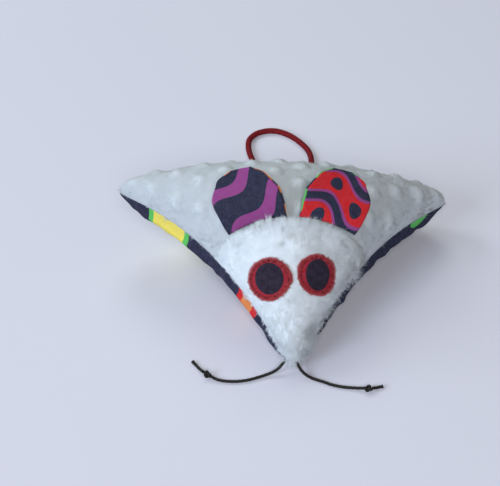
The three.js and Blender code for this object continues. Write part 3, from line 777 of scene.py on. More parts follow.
def plush_colour(tree, shader, noise, low, high, colour, plush):
    """Feeds the plush's colour to the shader, varied by a noise between two levels."""
    # The dots' height mask paints shade on the plush between the raised dots.
    raised = tree.nodes.new("ShaderNodeAttribute")
    raised.attribute_name = "raised"
    given = {"Noise": noise, "Low": low, "High": high, "Raised": raised.outputs["Fac"], "Pale": colour,
             "Dark": [c * plush.depth for c in colour], "Pressed": [plush.shaded] * 3}
    feed(tree, group_node(tree, "Plush shade", plush_group, given).outputs["Color"], shader.inputs["Base Color"])


def plush_material(name, colour, plush):
    """Plush cloth under and between the fibres, with a little painted shade in its hollows."""
    material, tree, shader = material_base(name, 0.95, Sheen_Weight=0.15, Sheen_Roughness=0.6)
    run = calculator(tree)
    place = object_place(tree)
    fine = noise_node(tree, place, 1500, 3)
    soft = run("MULTIPLY", noise_node(tree, place, 160, 3), 0.5)
    plush_colour(tree, shader, run("MULTIPLY_ADD", fine, 0.5, soft), 0.35, 0.65, colour, plush)
    bump(tree, shader, fine, 0.4, 0.0006)
    return material


def pile_material(name, colour, plush):
    """Fibres of the plush, paler at some places than at others, with painted shade between the raised dots."""
    material, tree, shader = material_base(name, 0.9, Sheen_Weight=0.2, Sheen_Roughness=0.5)
    plush_colour(tree, shader, noise_node(tree, object_place(tree), 300), 0.3, 0.6, colour, plush)
    return material


def cotton_material(name, colour_for, settings):
    """Woven cotton. colour_for adds nodes and returns the socket of the print's colour."""
    material, tree, shader = material_base(name, 0.9, Specular_IOR_Level=0.12)
    place = map_node(tree, "cloth")
    weave = group_node(tree, "Plain weave", weave_group, {"Thread": settings.thread, "Vector": place}).outputs
    lift = node_with(tree, "MapRange", Value=weave["Mottle"], From_Min=0.42, From_Max=0.62, To_Max=0.09)
    mottled = mix_colour(tree, lift.outputs["Result"], colour_for(tree, place), (0.30, 0.32, 0.48))
    feed(tree, mottled, shader.inputs["Base Color"])
    bump(tree, shader, weave["Height"], 0.35, 0.0001)
    return material


def wavy_print(settings, colours, turn, shift, width=0.52, edge=0.14, dot=0.25, wider=1, odd=1):
    """Returns a function that places the print on the cloth. colours are both bands' own and edge colours in turn."""

    def place_print(tree, place):
        mapping = tree.nodes.new("ShaderNodeMapping")
        mapping.inputs["Location"].default_value = (*shift, 0)
        mapping.inputs["Rotation"].default_value = (0, 0, turn)
        tree.links.new(place, mapping.inputs["Vector"])
        values = {"Vector": mapping.outputs["Vector"], "Band": settings.band * wider, "Width": width, "Edge": edge,
                  "Dot": dot, "Odd": odd, "Ground": settings.ground}
        values.update(zip(("First", "First edge", "Second", "Second edge"), colours))
        return group_node(tree, "Wavy bands", print_group, values).outputs["Color"]

    return place_print


# The top of the pillow, on a fine grid with its dots and the dips along its seams.
class TopSheet:
    """The displaced top as arrays: points, normals with and without (even) the relief, faces, and a flat cloth map."""

    def __init__(self, plush):
        shares = disc_shares(SPOKES, RINGS)
        self.fan, self.quads = disc_faces(SPOKES, RINGS)
        self.triangles = triangles_of(self.fan, self.quads)
        points = pillow_points(shares, lift=SHEET_LIFT)
        normals = normals_of(points, self.triangles)
        self.cloth = self.flattened(points)
        behind = behind_seam(points)
        on_body = np.clip(behind / 2, 0, 1)
        rim = np.clip(loft(shares) / 0.06, 0, 1)
        dots = self.dots(plush)
        rise = plush.dot_height / MM * dots * on_body * rim
        rise -= PILE_DEPTH * np.clip(loft(shares) / 0.15, 0, 1)
        rise += 0.22 * waves(points, (10, 24), SEED) * rim
        rise += 0.05 * waves(points, (3.5, 7), SEED + 1) * rim
        groove = np.where(behind < 0, 1.2, 1.7) * np.clip(1.6 - (points[:, 0] / 40) ** 2, 0.35, 1)
        rise -= groove * bell(behind / np.where(behind < 0, 1.5, 2.4)) * rim
        for x, y, deep in CROWN_DENTS:
            rise -= deep * np.exp(-(((points[:, 0] - x) / 3.4) ** 2) - ((points[:, 1] - y) / 1.8) ** 2)
        self.points = points + normals * rise[:, None]
        self.normals = normals_of(self.points, self.triangles)
        self.rim, self.even = rim, normals
        # The plush's colour follows this: painted shade between the body's raised dots and towards its seams. The head
        # has none.
        self.raised = np.where(on_body > 0, dots * rim, 1)

    @staticmethod
    def flattened(points):
        """Where each point lay on the flat cloth, nearly: half its plan distance and half the way over the surface."""
        rings = points[1:].reshape(RINGS, SPOKES, 3)
        runs = np.concatenate([np.broadcast_to(points[0], (1, SPOKES, 3)), rings])
        over = np.cumsum(np.linalg.norm(np.diff(runs, axis=0), axis=2), axis=0)
        plan = (rings - points[0])[..., :2]
        far = np.linalg.norm(plan, axis=2)
        flat = plan / far[..., None] * ((over + far) / 2)[..., None]
        return np.concatenate([np.zeros((1, 2)), flat.reshape(-1, 2)]) + points[0, :2]

    def dots(self, plush):
        """Height of the raised dots, from 0 to 1, on a lattice of equal triangles."""
        cos, sin = math.cos(DOT_TURN), math.sin(DOT_TURN)
        u = cos * self.cloth[:, 0] + sin * self.cloth[:, 1] + DOT_SHIFT[0]
        v = cos * self.cloth[:, 1] - sin * self.cloth[:, 0] + DOT_SHIFT[1]
        wide = plush.dot_spacing / MM
        high = wide * math.sqrt(3)
        nearest = np.full(len(u), np.inf)
        for half in (0, 0.5):
            du = u - wide * (np.round(u / wide - half) + half)
            dv = v - high * (np.round(v / high - half) + half)
            nearest = np.minimum(nearest, np.hypot(du, dv))
        return np.clip(1 - (nearest / (plush.dot_diameter / MM / 2)) ** 2, 0, 1) ** 2


# What is made once and read by several operators.
MADE = {}


def top_sheet():
    """The displaced top, made the first time it is asked for."""
    if "top" not in MADE:
        MADE["top"] = TopSheet(bpy.context.scene.toy_plush)
    return MADE["top"]


def sheet_object(name, points, fan, quads, cloth):
    """An open sheet with its cloth map in metres."""
    made = mesh_object(name, points, quads)
    with edited(made) as build:
        for corners in fan:
            build.faces.new([build.verts[i] for i in corners]).smooth = True
    corner_map(made, "cloth", cloth * MM)
    return made


def keep_side(made, level, ahead):
    """Cuts a sheet along the head seam's bow and keeps the part ahead of it or behind it."""
    with edited(made) as build:
        for vert in build.verts:
            vert.co.y += seam_bow(vert.co.x / MM) * MM
        bmesh.ops.bisect_plane(
            build, geom=build.verts[:] + build.edges[:] + build.faces[:], plane_co=(0, level * MM, 0),
            plane_no=(0, 1, 0), clear_outer=ahead, clear_inner=not ahead,
        )
        for vert in build.verts:
            vert.co.y -= seam_bow(vert.co.x / MM) * MM


class TOY_OT_make_stage(bpy.types.Operator):
    """Makes the floor, the lamps and the camera"""

    bl_idname = "toy.make_stage"
    bl_label = "Make the stage"

    def execute(self, context):
        settings = context.scene.toy_stage
        bpy.ops.mesh.primitive_circle_add(vertices=96, radius=FLOOR_RADIUS, fill_type="NGON", location=(0, 0, 0))
        floor = context.active_object
        floor.name = "floor"
        dark, pale = tinted(settings.floor, 0.985), tinted(settings.floor, 1.01)
        paper = speckled("Floor paper", 0.9, 900, dark, pale, 0.05, 0.0002, Specular_IOR_Level=0.2)
        floor.data.materials.append(paper)

        world = bpy.data.worlds.new("Even light")
        world.use_nodes = True
        tree = world.node_tree
        light = tree.nodes["Background"].inputs
        light["Color"].default_value = (0.88, 0.91, 1.0, 1)
        seen = tree.nodes.new("ShaderNodeLightPath").outputs["Is Camera Ray"]
        strength = calculator(tree)("MULTIPLY_ADD", seen, settings.horizon - settings.sky, settings.sky)
        feed(tree, strength, light["Strength"])
        context.scene.world = world

        for name, (place, colour) in LAMPS.items():
            data = bpy.data.lights.new(name, "AREA")
            data.size, data.energy, data.color = LAMP_SIZE, getattr(settings, name), colour
            lamp = bpy.data.objects.new(name, data)
            context.scene.collection.objects.link(lamp)
            lamp.location = place
            lamp.rotation_euler = (-Vector(place)).to_track_quat("-Z", "Y").to_euler()

        camera = bpy.data.objects.new("camera", bpy.data.cameras.new("camera"))
        context.scene.collection.objects.link(camera)
        camera.location = CAMERA_PLACE
        camera.rotation_euler = CAMERA_TURNS
        camera.data.sensor_width = 36
        camera.data.lens = CAMERA_LENS
        camera.data.clip_start = 0.01
        context.scene.camera = camera
        context.scene.view_settings.view_transform = "Standard"
        return {"FINISHED"}


class TOY_OT_make_tail(bpy.types.Operator):
    """Makes the braided cord of the tail"""

    bl_idname = "toy.make_tail"
    bl_label = "Make the tail"

    def execute(self, context):
        settings = context.scene.toy_cords
        points, length = smooth_route(TAIL_ROUTE, 0.42)
        turns = round_turns(TAIL_SIDES)[None]
        twist = 2 * np.pi * np.linspace(0, length, len(points))[:, None] / BRAID_PITCH
        one, two = (np.abs(np.cos((turns + way * twist) * BRAID_STRANDS / 2)) for way in (1, -1))
        radii = settings.tail / MM / 2 * (0.9 + 0.15 * np.maximum(one**0.7, two**0.7) - 0.08 * one * two)
        tail = tube_mesh("tail_braid", points, radii, TAIL_SIDES)
        dark, pale = tinted(settings.red, 0.35), tinted(settings.red, 1.6, 0.003)
        braid = speckled("Red braid", 0.8, 1100, dark, pale, 0.3, 0.0002, Specular_IOR_Level=0.12)
        finish_piece(tail, braid, "tail", "tail_cord", "tail_loop")
        return {"FINISHED"}


def tied_knot(name, parts, radius):
    """An overhand knot that the cord runs through."""
    start, end = np.array(parts["route"][-1]), np.array(parts["end"][0])
    along = unit(end - start)
    side = unit(np.cross(along, (0, 0, 1)))
    up = np.cross(side, along)
    t = np.linspace(0.06, 0.94, 120)[:, None] * 2 * np.pi
    loop = (
        (np.sin(t) + 2 * np.sin(2 * t)) / 3 * 1.15 * along + (np.cos(t) - 2 * np.cos(2 * t)) / 3 * side * 0.95
        - 0.55 * np.sin(3 * t) * up
    )
    points = np.array(parts["knot"]) + radius * KNOT_SIZE * loop
    points = np.concatenate([[start, start * 0.6 + points[0] * 0.4], points, [end * 0.6 + points[-1] * 0.4, end]])
    points, _ = smooth_route(points[::4], 0.3)
    points[:, 2] = np.maximum(points[:, 2], radius + 0.05)
    return tube_mesh(f"{name}_tied_knot", points, radius * 0.97, 14)


def cut_end(name, parts, radius):
    """The short end beyond the knot, a little wider where it is cut."""
    points, _ = smooth_route(parts["end"], 0.4)
    run = np.linspace(0, 1, len(points))
    flare = radius * (0.97 + 0.32 * np.clip((run - 0.82) / 0.18, 0, 1) ** 1.5)
    points[:, 2] = np.maximum(points[:, 2], flare + 0.02)
    return tube_mesh(f"{name}_cut_end", points, flare, 14)


class TOY_OT_make_whiskers(bpy.types.Operator):
    """Makes the two waxed cords with their knots and cut ends"""

    bl_idname = "toy.make_whiskers"
    bl_label = "Make the whiskers"

    def execute(self, context):
        settings = context.scene.toy_cords
        radius = settings.whisker / MM / 2
        black = settings.black
        material = speckled("Waxed cord", 0.5, 1900, black, tinted(black, 2.2), 0.35, 0.0002, Specular_IOR_Level=0.18)
        turns = round_turns(WHISKER_SIDES)[None]
        for name, parts in WHISKERS.items():
            points, length = smooth_route(parts["route"], 0.5)
            run = np.linspace(0, length, len(points))[:, None]
            radii = radius * (0.96 + 0.05 * np.cos(3 * (turns - 2 * np.pi * run / LAY_PITCH)))
            cord = tube_mesh(f"{name}_cord", points, radii, WHISKER_SIDES)
            knot, end = tied_knot(name, parts, radius), cut_end(name, parts, radius)
            for piece, replaced in ((cord, name), (knot, f"{name}_knot"), (end, f"{name}_end")):
                finish_piece(piece, material, name, "whisker_cord", replaced)
        return {"FINISHED"}


class TOY_OT_make_top(bpy.types.Operator):
    """Makes the body and head panels of plush"""

    bl_idname = "toy.make_top"
    bl_label = "Make the plush panels"

    def execute(self, context):
        plush = context.scene.toy_plush
        top = top_sheet()
        for name, node, slot, side, colour in (
            ("body_plush", "body_panel", "dimple_plush", 1, plush.body),
            ("head_plush", "head_panel", "smooth_plush", -1, plush.head),
        ):
            panel = sheet_object(name, top.points, top.fan, top.quads, top.cloth)
            point_values(panel, "raised", top.raised)
            keep_side(panel, HEAD_SEAM + side * PANEL_GAP, side < 0)
            thicken(panel, PLUSH_THICKNESS)
            finish_piece(panel, plush_material(f"{name} cloth", colour, plush), "body", slot, node)
        return {"FINISHED"}


class TOY_OT_make_belly(bpy.types.Operator):
    """Makes the belly panel of printed cotton"""

    bl_idname = "toy.make_belly"
    bl_label = "Make the belly"

    def execute(self, context):
        settings = context.scene.toy_cloth
        shares = disc_shares(BELLY_SPOKES, BELLY_RINGS)
        fan, quads = disc_faces(BELLY_SPOKES, BELLY_RINGS)
        points = pillow_points(shares, top=False, lift=SHEET_LIFT)
        normals = -normals_of(points, triangles_of(fan, quads))
        full = loft(shares)
        seam = np.clip(full / 0.05, 0, 1)
        near_seam = seam * bell(full / 0.3)
        inward = 0.3 * waves(points, (7, 15), SEED + 5) * near_seam + 0.15 * waves(points, (18, 40), SEED + 6)
        rear = 4 * shares[:, 1] * shares[:, 2]
        bulge = np.where(shares[:, 1] > shares[:, 2], *FLANK_BULGE)
        inward -= bulge * near_seam * np.clip(1.4 - 1.4 * rear, 0, 1)
        points -= normals * (inward * np.clip(points[:, 2] / 4, 0, 1) * seam)[:, None]
        fan = [corners[::-1] for corners in fan]
        belly = sheet_object("belly_cotton", points, fan, quads[:, ::-1], seam_sheet(shares)[:, :2])
        thicken(belly, BELLY_THICKNESS)
        colours = (settings.yellow, settings.green, settings.orange, settings.red)
        place = wavy_print(settings, colours, math.radians(130), (-0.0434, 0.0667), 0.38, 0.11, 0.0, 2.9, 0.3)
        cotton = cotton_material("Belly cotton", place, settings)
        finish_piece(belly, cotton, "body", "printed_cotton", "belly_panel")
        return {"FINISHED"}


def head_seam_points(across, bowed=True):
    """Points of the top on the head seam, from the left at 0 to the right at 1. Not bowed, it is straight in plan."""
    across = np.atleast_1d(np.asarray(across, float))

    def points_for(nose):
        return pillow_points(np.stack([nose, (1 - nose) * across, (1 - nose) * (1 - across)], -1))

    def behind(nose):
        points = points_for(nose)
        return points[:, 1] + bowed * seam_bow(points[:, 0]) > HEAD_SEAM

    return points_for(last_passed(behind, len(across)))


class Ear:
    """An ear's frame on its hinge line, and points of its sheet."""

    def __init__(self, shares, outer_sign):
        self.shares, self.outer_sign = shares, outer_sign
        start, end, middle = head_seam_points([*shares, sum(shares) / 2], bowed=False)
        self.along = unit(end - start)
        self.back = unit(np.cross((0, 0, 1), self.along))
        self.up = np.cross(self.along, self.back)
        rise = (middle - start) @ self.up
        self.origin = (start + end) / 2 + self.up * (rise + EAR_SEAT + EAR_LIFT)

    @staticmethod
    def profile(distance):
        """How far back and up the cloth is after it rises from the seam and bends back."""
        bend = np.minimum(distance, EAR_BEND)
        turned = math.pi / 2 - EAR_TILT
        angle = turned * bend / EAR_BEND
        radius = EAR_BEND / turned
        straight = distance - bend
        return (radius * (1 - np.cos(angle)) + straight * np.sin(angle),
                radius * np.sin(angle) + straight * np.cos(angle))

    def width(self, reach):
        """The lowest and highest place across the ear at each reach."""
        outer, inner = (EAR_WIDTH * curve_at(table, reach) for table in (EAR_OUTER, EAR_INNER))
        return (-outer, inner) if self.outer_sign < 0 else (-inner, outer)

    def place(self, across, reach):
        """Points of the ear's sheet in its own frame. across is 0 to 1, and reach is 0 at the seam and 1 at the tip."""
        low, high = self.width(reach)
        distance = EAR_LENGTH * reach
        back, up = self.profile(distance)
        off_seam = head_seam_points(self.shares[0] + (self.shares[1] - self.shares[0]) * across) - self.origin
        near = np.maximum(0, 1 - distance / (2 * EAR_BEND))
        back = back + off_seam @ self.back * near**1.5
        settled = (off_seam @ self.up + EAR_SEAT + EAR_LIFT) * EAR_FOLLOW * near**2
        cup = EAR_CUP * (2 * across - 1) ** 2 * reach
        return np.stack([low + (high - low) * across, back - cup, up - EAR_LIFT + settled + cup], -1)

    def world(self, local):
        """Points in the toy's frame, in millimetres."""
        return self.origin + local @ np.stack([self.along, self.back, self.up])


def ear_layer(ear, name, side):
    """One layer of an ear, puffed a little off the sheet between the two."""
    reach = np.sin(np.pi / 2 * np.arange(EAR_ROWS + 1) / EAR_ROWS) ** 1.2
    a, r = (grid.ravel() for grid in np.meshgrid(np.arange(EAR_ROWS + 1) / EAR_ROWS, reach))
    points = ear.world(ear.place(a, r))
    low, high = ear.width(r)
    if side < 0:
        inner = a if ear.outer_sign < 0 else 1 - a
        shown = inner**3 * np.clip(4 * r * (1.05 - r), 0, 1)
        points = points - ear.outer_sign * ear.along * shown[:, None]
    corner = (np.arange(EAR_ROWS)[:, None] * (EAR_ROWS + 1) + np.arange(EAR_ROWS)).ravel()
    above = corner + EAR_ROWS + 1
    quads = np.stack([corner, corner + 1, above + 1, above], -1)
    normals = normals_of(points, np.concatenate([quads[:, [0, 1, 2]], quads[:, [0, 2, 3]]]))
    puff = np.clip(4 * a * (1 - a), 0, 1) ** 0.5 * np.clip(4 * r * (1 - r) + 0.2, 0, 1) ** 0.5
    depth = 0.12 + 0.55 * puff + 0.18 * puff * waves(points, (9, 20), SEED + 7 + len(name))
    made = mesh_object(name, points + side * normals * depth[:, None], quads[:, ::side])
    corner_map(made, "cloth", np.stack([low + (high - low) * a, EAR_LENGTH * r], -1) * MM)
    thicken(made, EAR_THICKNESS, 1)
    return made


class TOY_OT_make_ears(bpy.types.Operator):
    """Makes the two ears, each of a printed front and a lining"""

    bl_idname = "toy.make_ears"
    bl_label = "Make the ears"

    def execute(self, context):
        settings = context.scene.toy_cloth
        purple, red = settings.purple, settings.red
        prints = {
            "left_ear": wavy_print(settings, [purple] * 4, math.radians(-38), (0.0, 0.009), 0.36, 0.0, 0.0),
            "right_ear": wavy_print(settings, [red, purple] * 2, math.radians(24), (0.0, -0.008), 0.6, 0.16, 0.36),
        }
        linings = {"left_ear": settings.orange, "right_ear": settings.green}
        for name, (shares, outer_sign) in EARS.items():
            ear = Ear(shares, outer_sign)
            front = ear_layer(ear, f"{name}_front_cloth", 1)
            back = ear_layer(ear, f"{name}_lining", -1)
            front.data.materials.append(cotton_material(f"{name} print", prints[name], settings))
            lining = wavy_print(settings, [linings[name]] * 4, 0.3, (0.0, 0.006))
            back.data.materials.append(cotton_material(f"{name} lining", lining, settings))
            parts = ((front, "printed_cotton", f"{name}_front"), (back, "lining_cotton", f"{name}_back"))
            for piece, slot, node in parts:
                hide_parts(node)
                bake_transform(piece)
        return {"FINISHED"}


class Eye:
    """An eye's frame on the displaced plush, and points over it."""

    def __init__(self, middle, edge, tree):
        self.tree, self.edge = tree, edge
        x, y = middle
        self.centre = self.over(x, y)
        across = unit(self.over(x + EYE_PROBE, y) - self.over(x - EYE_PROBE, y))
        self.upward = unit(self.over(x, y + EYE_PROBE) - self.over(x, y - EYE_PROBE))
        self.outward = unit(np.cross(across, self.upward))
        self.across = np.cross(self.upward, self.outward)

    def hit(self, start, way):
        """Where a ray meets the plush, in millimetres."""
        found = self.tree.ray_cast(Vector(start * MM), Vector(way))
        if found[0] is None:
            raise RuntimeError("an eye lies off the head")
        return np.array(found[0]) / MM

    def over(self, x, y):
        """The plush under a place on the plan."""
        return self.hit(np.array([x, y, 120.0]), (0, 0, -1))

    def edge_at(self, turns):
        """How far the cloth's edge is from the middle at these turns."""
        return EYE_RADIUS * curve_at((*self.edge, self.edge[0]), np.mod(turns, 2 * np.pi) / (2 * np.pi))

    def points(self, turns, distances, lift):
        """Points over the plush at these turns and distances, lifted off it."""
        flat = self.centre + distances[:, None] * (
            np.cos(turns)[:, None] * self.across + np.sin(turns)[:, None] * self.upward
        )
        met = np.array([self.hit(start, -self.outward) for start in flat + self.outward * 25])
        return met + self.outward * np.asarray(lift, float).reshape(-1, 1)


def eye_patch(eye, name):
    """The cotton patch, sunk into the pile at its edge."""
    fan, quads = disc_faces(EYE_SPOKES, EYE_RINGS)
    turns = round_turns(EYE_SPOKES)
    reach = np.arange(1, EYE_RINGS + 1) / EYE_RINGS
    distance = reach[:, None] * eye.edge_at(turns)[None]
    distance[-1] *= 1 + 0.012 * np.random.default_rng(SEED + 3).normal(size=EYE_SPOKES)
    t = np.concatenate([[0], np.tile(turns, EYE_RINGS)])
    d = np.concatenate([[0], distance.ravel()])
    share = np.concatenate([[0], np.repeat(reach, EYE_SPOKES)])
    points = eye.points(t, d, 1.7 - 0.7 * share**4)
    made = sheet_object(name, points, fan, quads, np.stack([d * np.cos(t), d * np.sin(t)], -1))
    corner_map(made, "reach", np.stack([share, np.zeros_like(share)], -1))
    thicken(made, EYE_THICKNESS)
    return made


def eye_stitches(eye, name):
    """One thread that goes in and out over the patch's edge in a close zigzag."""
    rng = np.random.default_rng(SEED + 4)
    count = 2 * EYE_TEETH
    turns = 2 * np.pi * (np.arange(count) + 0.25 * rng.uniform(-1, 1, count)) / count
    outward = np.where(np.arange(count) % 2 == 0, 1.0, -2.2)
    distance = eye.edge_at(turns) + outward + rng.normal(size=count) * np.where(outward > 0, 0.3, 0.55)
    after = np.roll(turns, -1)
    middle_turns = (turns + after + np.where(after < turns, 2 * np.pi, 0)) / 2
    line = np.empty((2 * count, 3))
    line[0::2] = eye.points(turns, distance, 1.6)
    line[1::2] = eye.points(middle_turns, (distance + np.roll(distance, -1)) / 2, 2.0)
    points, _ = smooth_route(np.concatenate([line, line[:1]]), 0.35)
    return tube_mesh(name, points, EYE_THREAD_RADIUS, 6)


def pupil_print(oval, settings):
    """Returns a function that prints a dark oval in the middle of red cotton, with a darker red band of painted shade
    under the stitches near its edge.
    """
    x, y, wide, high = oval

    def place_pupil(tree, place):
        run = calculator(tree)
        across, upward = (
            run("DIVIDE", run("SUBTRACT", part, middle * MM), half * MM)
            for part, middle, half in zip(two_parts(tree, place), (x, y), (wide, high))
        )
        far = run("SQRT", run("ADD", run("MULTIPLY", across, across), run("MULTIPLY", upward, upward)))
        rough = run("MULTIPLY_ADD", noise_node(tree, place, 1500), 0.05, far)
        # Painted shade: the patch's outer band, under the zigzag stitches, is a darker red.
        under = run("GREATER_THAN", two_parts(tree, map_node(tree, "reach"))[0], 0.84)
        red = mix_colour(tree, under, settings.eye_red, settings.stitch_gap)
        return mix_colour(tree, run("LESS_THAN", rough, 1.02), red, settings.pupil)

    return place_pupil


class TOY_OT_make_eyes(bpy.types.Operator):
    """Makes the eyes: a cotton patch with a printed pupil, and the zigzag stitches that hold it"""

    bl_idname = "toy.make_eyes"
    bl_label = "Make the eyes"

    def execute(self, context):
        settings = context.scene.toy_cloth
        thread = speckled(
            "Eye thread", 0.6, 1800, settings.stitch, tinted(settings.eye_red, 1.6), 0.3, 0.0001, Sheen_Weight=0.1
        )
        for name, facts in EYES.items():
            eye = Eye(facts["middle"], facts["edge"], head_tree())
            patch = eye_patch(eye, f"{name}_cotton")
            cotton = cotton_material(f"{name} cotton", pupil_print(facts["pupil"], settings), settings)
            finish_piece(patch, cotton, "body", "eye_cotton", f"{name}_patch")
            stitches = eye_stitches(eye, f"{name}_zigzag")
            finish_piece(stitches, thread, "body", "eye_thread", f"{name}_stitching")
        return {"FINISHED"}


def head_tree():
    """A search tree of the displaced top."""
    if "tree" not in MADE:
        top = top_sheet()
        MADE["tree"] = BVHTree.FromPolygons((top.points * MM).tolist(), top.triangles.tolist())
    return MADE["tree"]


def spikes(name, roots, ways, normals, shading, lengths, widths, cloth):
    """Fibres as thin closed spikes, each with a small patch of the map at its root."""
    count = len(roots)
    side = unit(np.cross(ways, normals))
    other = unit(np.cross(ways, side))
    base = roots - normals * 0.25
    corners = np.empty((count, 4, 3))
    uv = np.repeat(cloth[:, None], 4, axis=1)
    for k, turn in enumerate(round_turns(3)):
        cos, sin = math.cos(turn), math.sin(turn)
        corners[:, k] = base + widths[:, None] * (cos * side + sin * other)
        uv[:, k] += widths[:, None] * np.array([cos, sin])
    corners[:, 3] = base + ways * lengths[:, None]
    first = 4 * np.arange(count)[:, None, None]
    faces = (first + np.array([[0, 1, 3], [1, 2, 3], [2, 0, 3], [0, 2, 1]])).reshape(-1, 3)
    made = mesh_object(name, corners.reshape(-1, 3), faces)
    low, high = cloth.min(0) - 1, cloth.max(0) + 1
    corner_map(made, "OFBake", ((uv - low) / (high - low).max()).reshape(-1, 2))
    soft = unit(shading + 0.22 * (ways - shading * (ways * shading).sum(1, keepdims=True)))
    made.data.normals_split_custom_set_from_vertices(np.repeat(soft, 4, axis=0).tolist())
    return made


def snout_share(points):
    """One at the nose, and nothing away from it."""
    return np.clip((NOSE_START - points[:, 1]) / NOSE_BLEND, 0, 1)


def fringe_share(points):
    """One along the head's rear edge, and nothing away from it."""
    return bell((behind_seam(points) + FRINGE_AHEAD) / FRINGE_DEPTH)


def brushed(roots, normals, head, rim, fringe, snout):
    """The way the pile is brushed: out from the middle, down over the seams, and back over the ears' feet."""
    out = roots - (HEAD_MIDDLE if head else BODY_MIDDLE)
    out[:, 2] = -6
    swirl, tufts = (
        np.stack([waves(roots, lengths, SEED + first + k) for k in range(3)], -1)
        for lengths, first in (((9, 20), 20), ((2.5, 5), 30))
    )
    lay = unit(out) * (1 - 0.6 * fringe)[:, None] + 0.3 * swirl + (0.08 + 0.45 * (1 - rim))[:, None] * tufts
    lay[:, 1] += fringe * 1.3 if head else -2.2 * bell(behind_seam(roots) / 2.6)
    lay[:, 2] += fringe * 0.5 - (0.6 * (1 - 0.8 * snout) if head else 0.25) * (1 - rim)
    lay[:, 0] += 0.7 * snout * np.clip((roots[:, 0] - NOSE_MIDDLE) / 9, -1, 1)
    lay += 0.7 * snout[:, None] * tufts
    lay -= normals * (lay * normals).sum(1, keepdims=True)
    return unit(lay)


def clear_of_pieces(roots):
    """False where a fibre would stand under an eye's cotton or in an ear."""
    keep = np.ones(len(roots), bool)
    for facts in EYES.values():
        eye = Eye(facts["middle"], facts["edge"], head_tree())
        off = roots - eye.centre
        x, y = off @ eye.across, off @ eye.upward
        inside = np.hypot(x, y) < eye.edge_at(np.arctan2(y, x)) - 0.3
        keep &= ~(inside & (np.abs(off @ eye.outward) < 12))
    for shares, outer_sign in EARS.values():
        ear = Ear(shares, outer_sign)
        x, y = (roots - ear.origin) @ ear.along, (roots - ear.origin) @ ear.back + seam_bow(roots[:, 0])
        half = np.where(x * outer_sign > 0, EAR_OUTER[1], EAR_INNER[1]) * EAR_WIDTH
        keep &= ~((np.abs(x) < half) & (y > 0) & (y < 4.5))
    return keep


class TOY_OT_make_pile(bpy.types.Operator):
    """Makes the fibres of the plush on the body and the head"""

    bl_idname = "toy.make_pile"
    bl_label = "Make the pile"

    def execute(self, context):
        plush = context.scene.toy_plush
        top = top_sheet()
        rng = np.random.default_rng(SEED + 9)
        triangles = top.triangles
        a, b, c = (top.points[triangles[:, k]] for k in range(3))
        area = np.linalg.norm(np.cross(b - a, c - a), axis=1) / 2
        middle = (a + b + c) / 3
        edge = 1 - top.rim[triangles].mean(1)
        for name, head, slot, length, short, colour in (
            ("body_pile", 0, "dimple_plush", plush.body_pile / MM, 0.6, plush.body),
            ("head_pile", 1, "smooth_plush", plush.head_pile / MM, 0.4, plush.head),
        ):
            ours = behind_seam(middle) < -0.5 if head else behind_seam(middle) > 0.5
            density = 1 + (1.2 + 5 * snout_share(middle) * head) * edge + 9 * fringe_share(middle) * head
            weight = area * ours * density
            chosen = rng.choice(len(triangles), size=FIBRES, p=weight / weight.sum())
            u, v = rng.random(FIBRES), rng.random(FIBRES)
            flip = u + v > 1
            u, v = np.where(flip, 1 - u, u), np.where(flip, 1 - v, v)
            shares = np.stack([1 - u - v, u, v], -1)[..., None]
            fields = (top.points, top.normals, top.even, top.cloth, top.rim[:, None], top.raised[:, None])
            fields = [(field[triangles[chosen]] * shares).sum(1) for field in fields]
            keep = clear_of_pieces(fields[0])
            roots, normals, even, cloth, rim, raised = (field[keep] for field in fields)
            normals, even, rim, raised = unit(normals), unit(even), rim[:, 0], raised[:, 0]
            count, x = len(roots), roots[:, 0]
            fringe, snout = fringe_share(roots) * head, snout_share(roots) * head
            lay = brushed(roots, normals, head, rim, fringe, snout)
            lengths = length * rng.uniform(0.6, 1.15, count) * (1 + 0.12 * waves(roots, (4, 9), SEED + 11))
            rightward = 1.25 * np.clip(0.5 + x / 24, 0, 1) - 0.55
            tufts = np.maximum(0, waves(roots, (2.2, 5), SEED + 13) - 0.35) * (1 + head * rightward)
            back = (0.8 + 0.55 * waves(roots, (1.6, 3.5), SEED + 14)) * np.clip(1.3 - (x / 46) ** 2, 0.45, 1)
            upright = fringe * np.clip(2.2 - (x / 32) ** 2, 0, 1)
            at_rim = (short - 1.3 * tufts) * (1 - rim)
            lengths = lengths * (1 - at_rim + fringe * back * rim + 0.9 * snout * (1 - 0.5 * rim))
            stand = 0.42 + 0.08 * waves(roots, (3, 8), SEED + 12) + 0.18 * rng.normal(size=count)
            stand = stand * (0.4 + 0.6 * rim) + 0.9 * upright
            stand += snout * (0.12 + 0.12 * waves(roots, (2, 5), SEED + 15))
            lay *= (1 - 0.4 * upright)[:, None]
            ways = unit(normals * np.clip(stand, 0.15, 1.5)[:, None] + lay + 0.16 * rng.normal(size=(count, 3)))
            above_floor = np.maximum(0.3, (roots[:, 2] - 0.3) / np.maximum(0.001, -ways[:, 2]))
            lengths = np.minimum(lengths, above_floor)
            widths = rng.uniform(*FIBRE_WIDTHS, count)
            shading = unit(normals + 1.5 * fringe[:, None] * even)
            pile = spikes(name, roots, ways, normals, shading, lengths, widths, cloth)
            point_values(pile, "raised", np.repeat(raised, 4))
            finish_piece(pile, pile_material(f"{name} fibres", colour, plush), "body", slot)
        return {"FINISHED"}


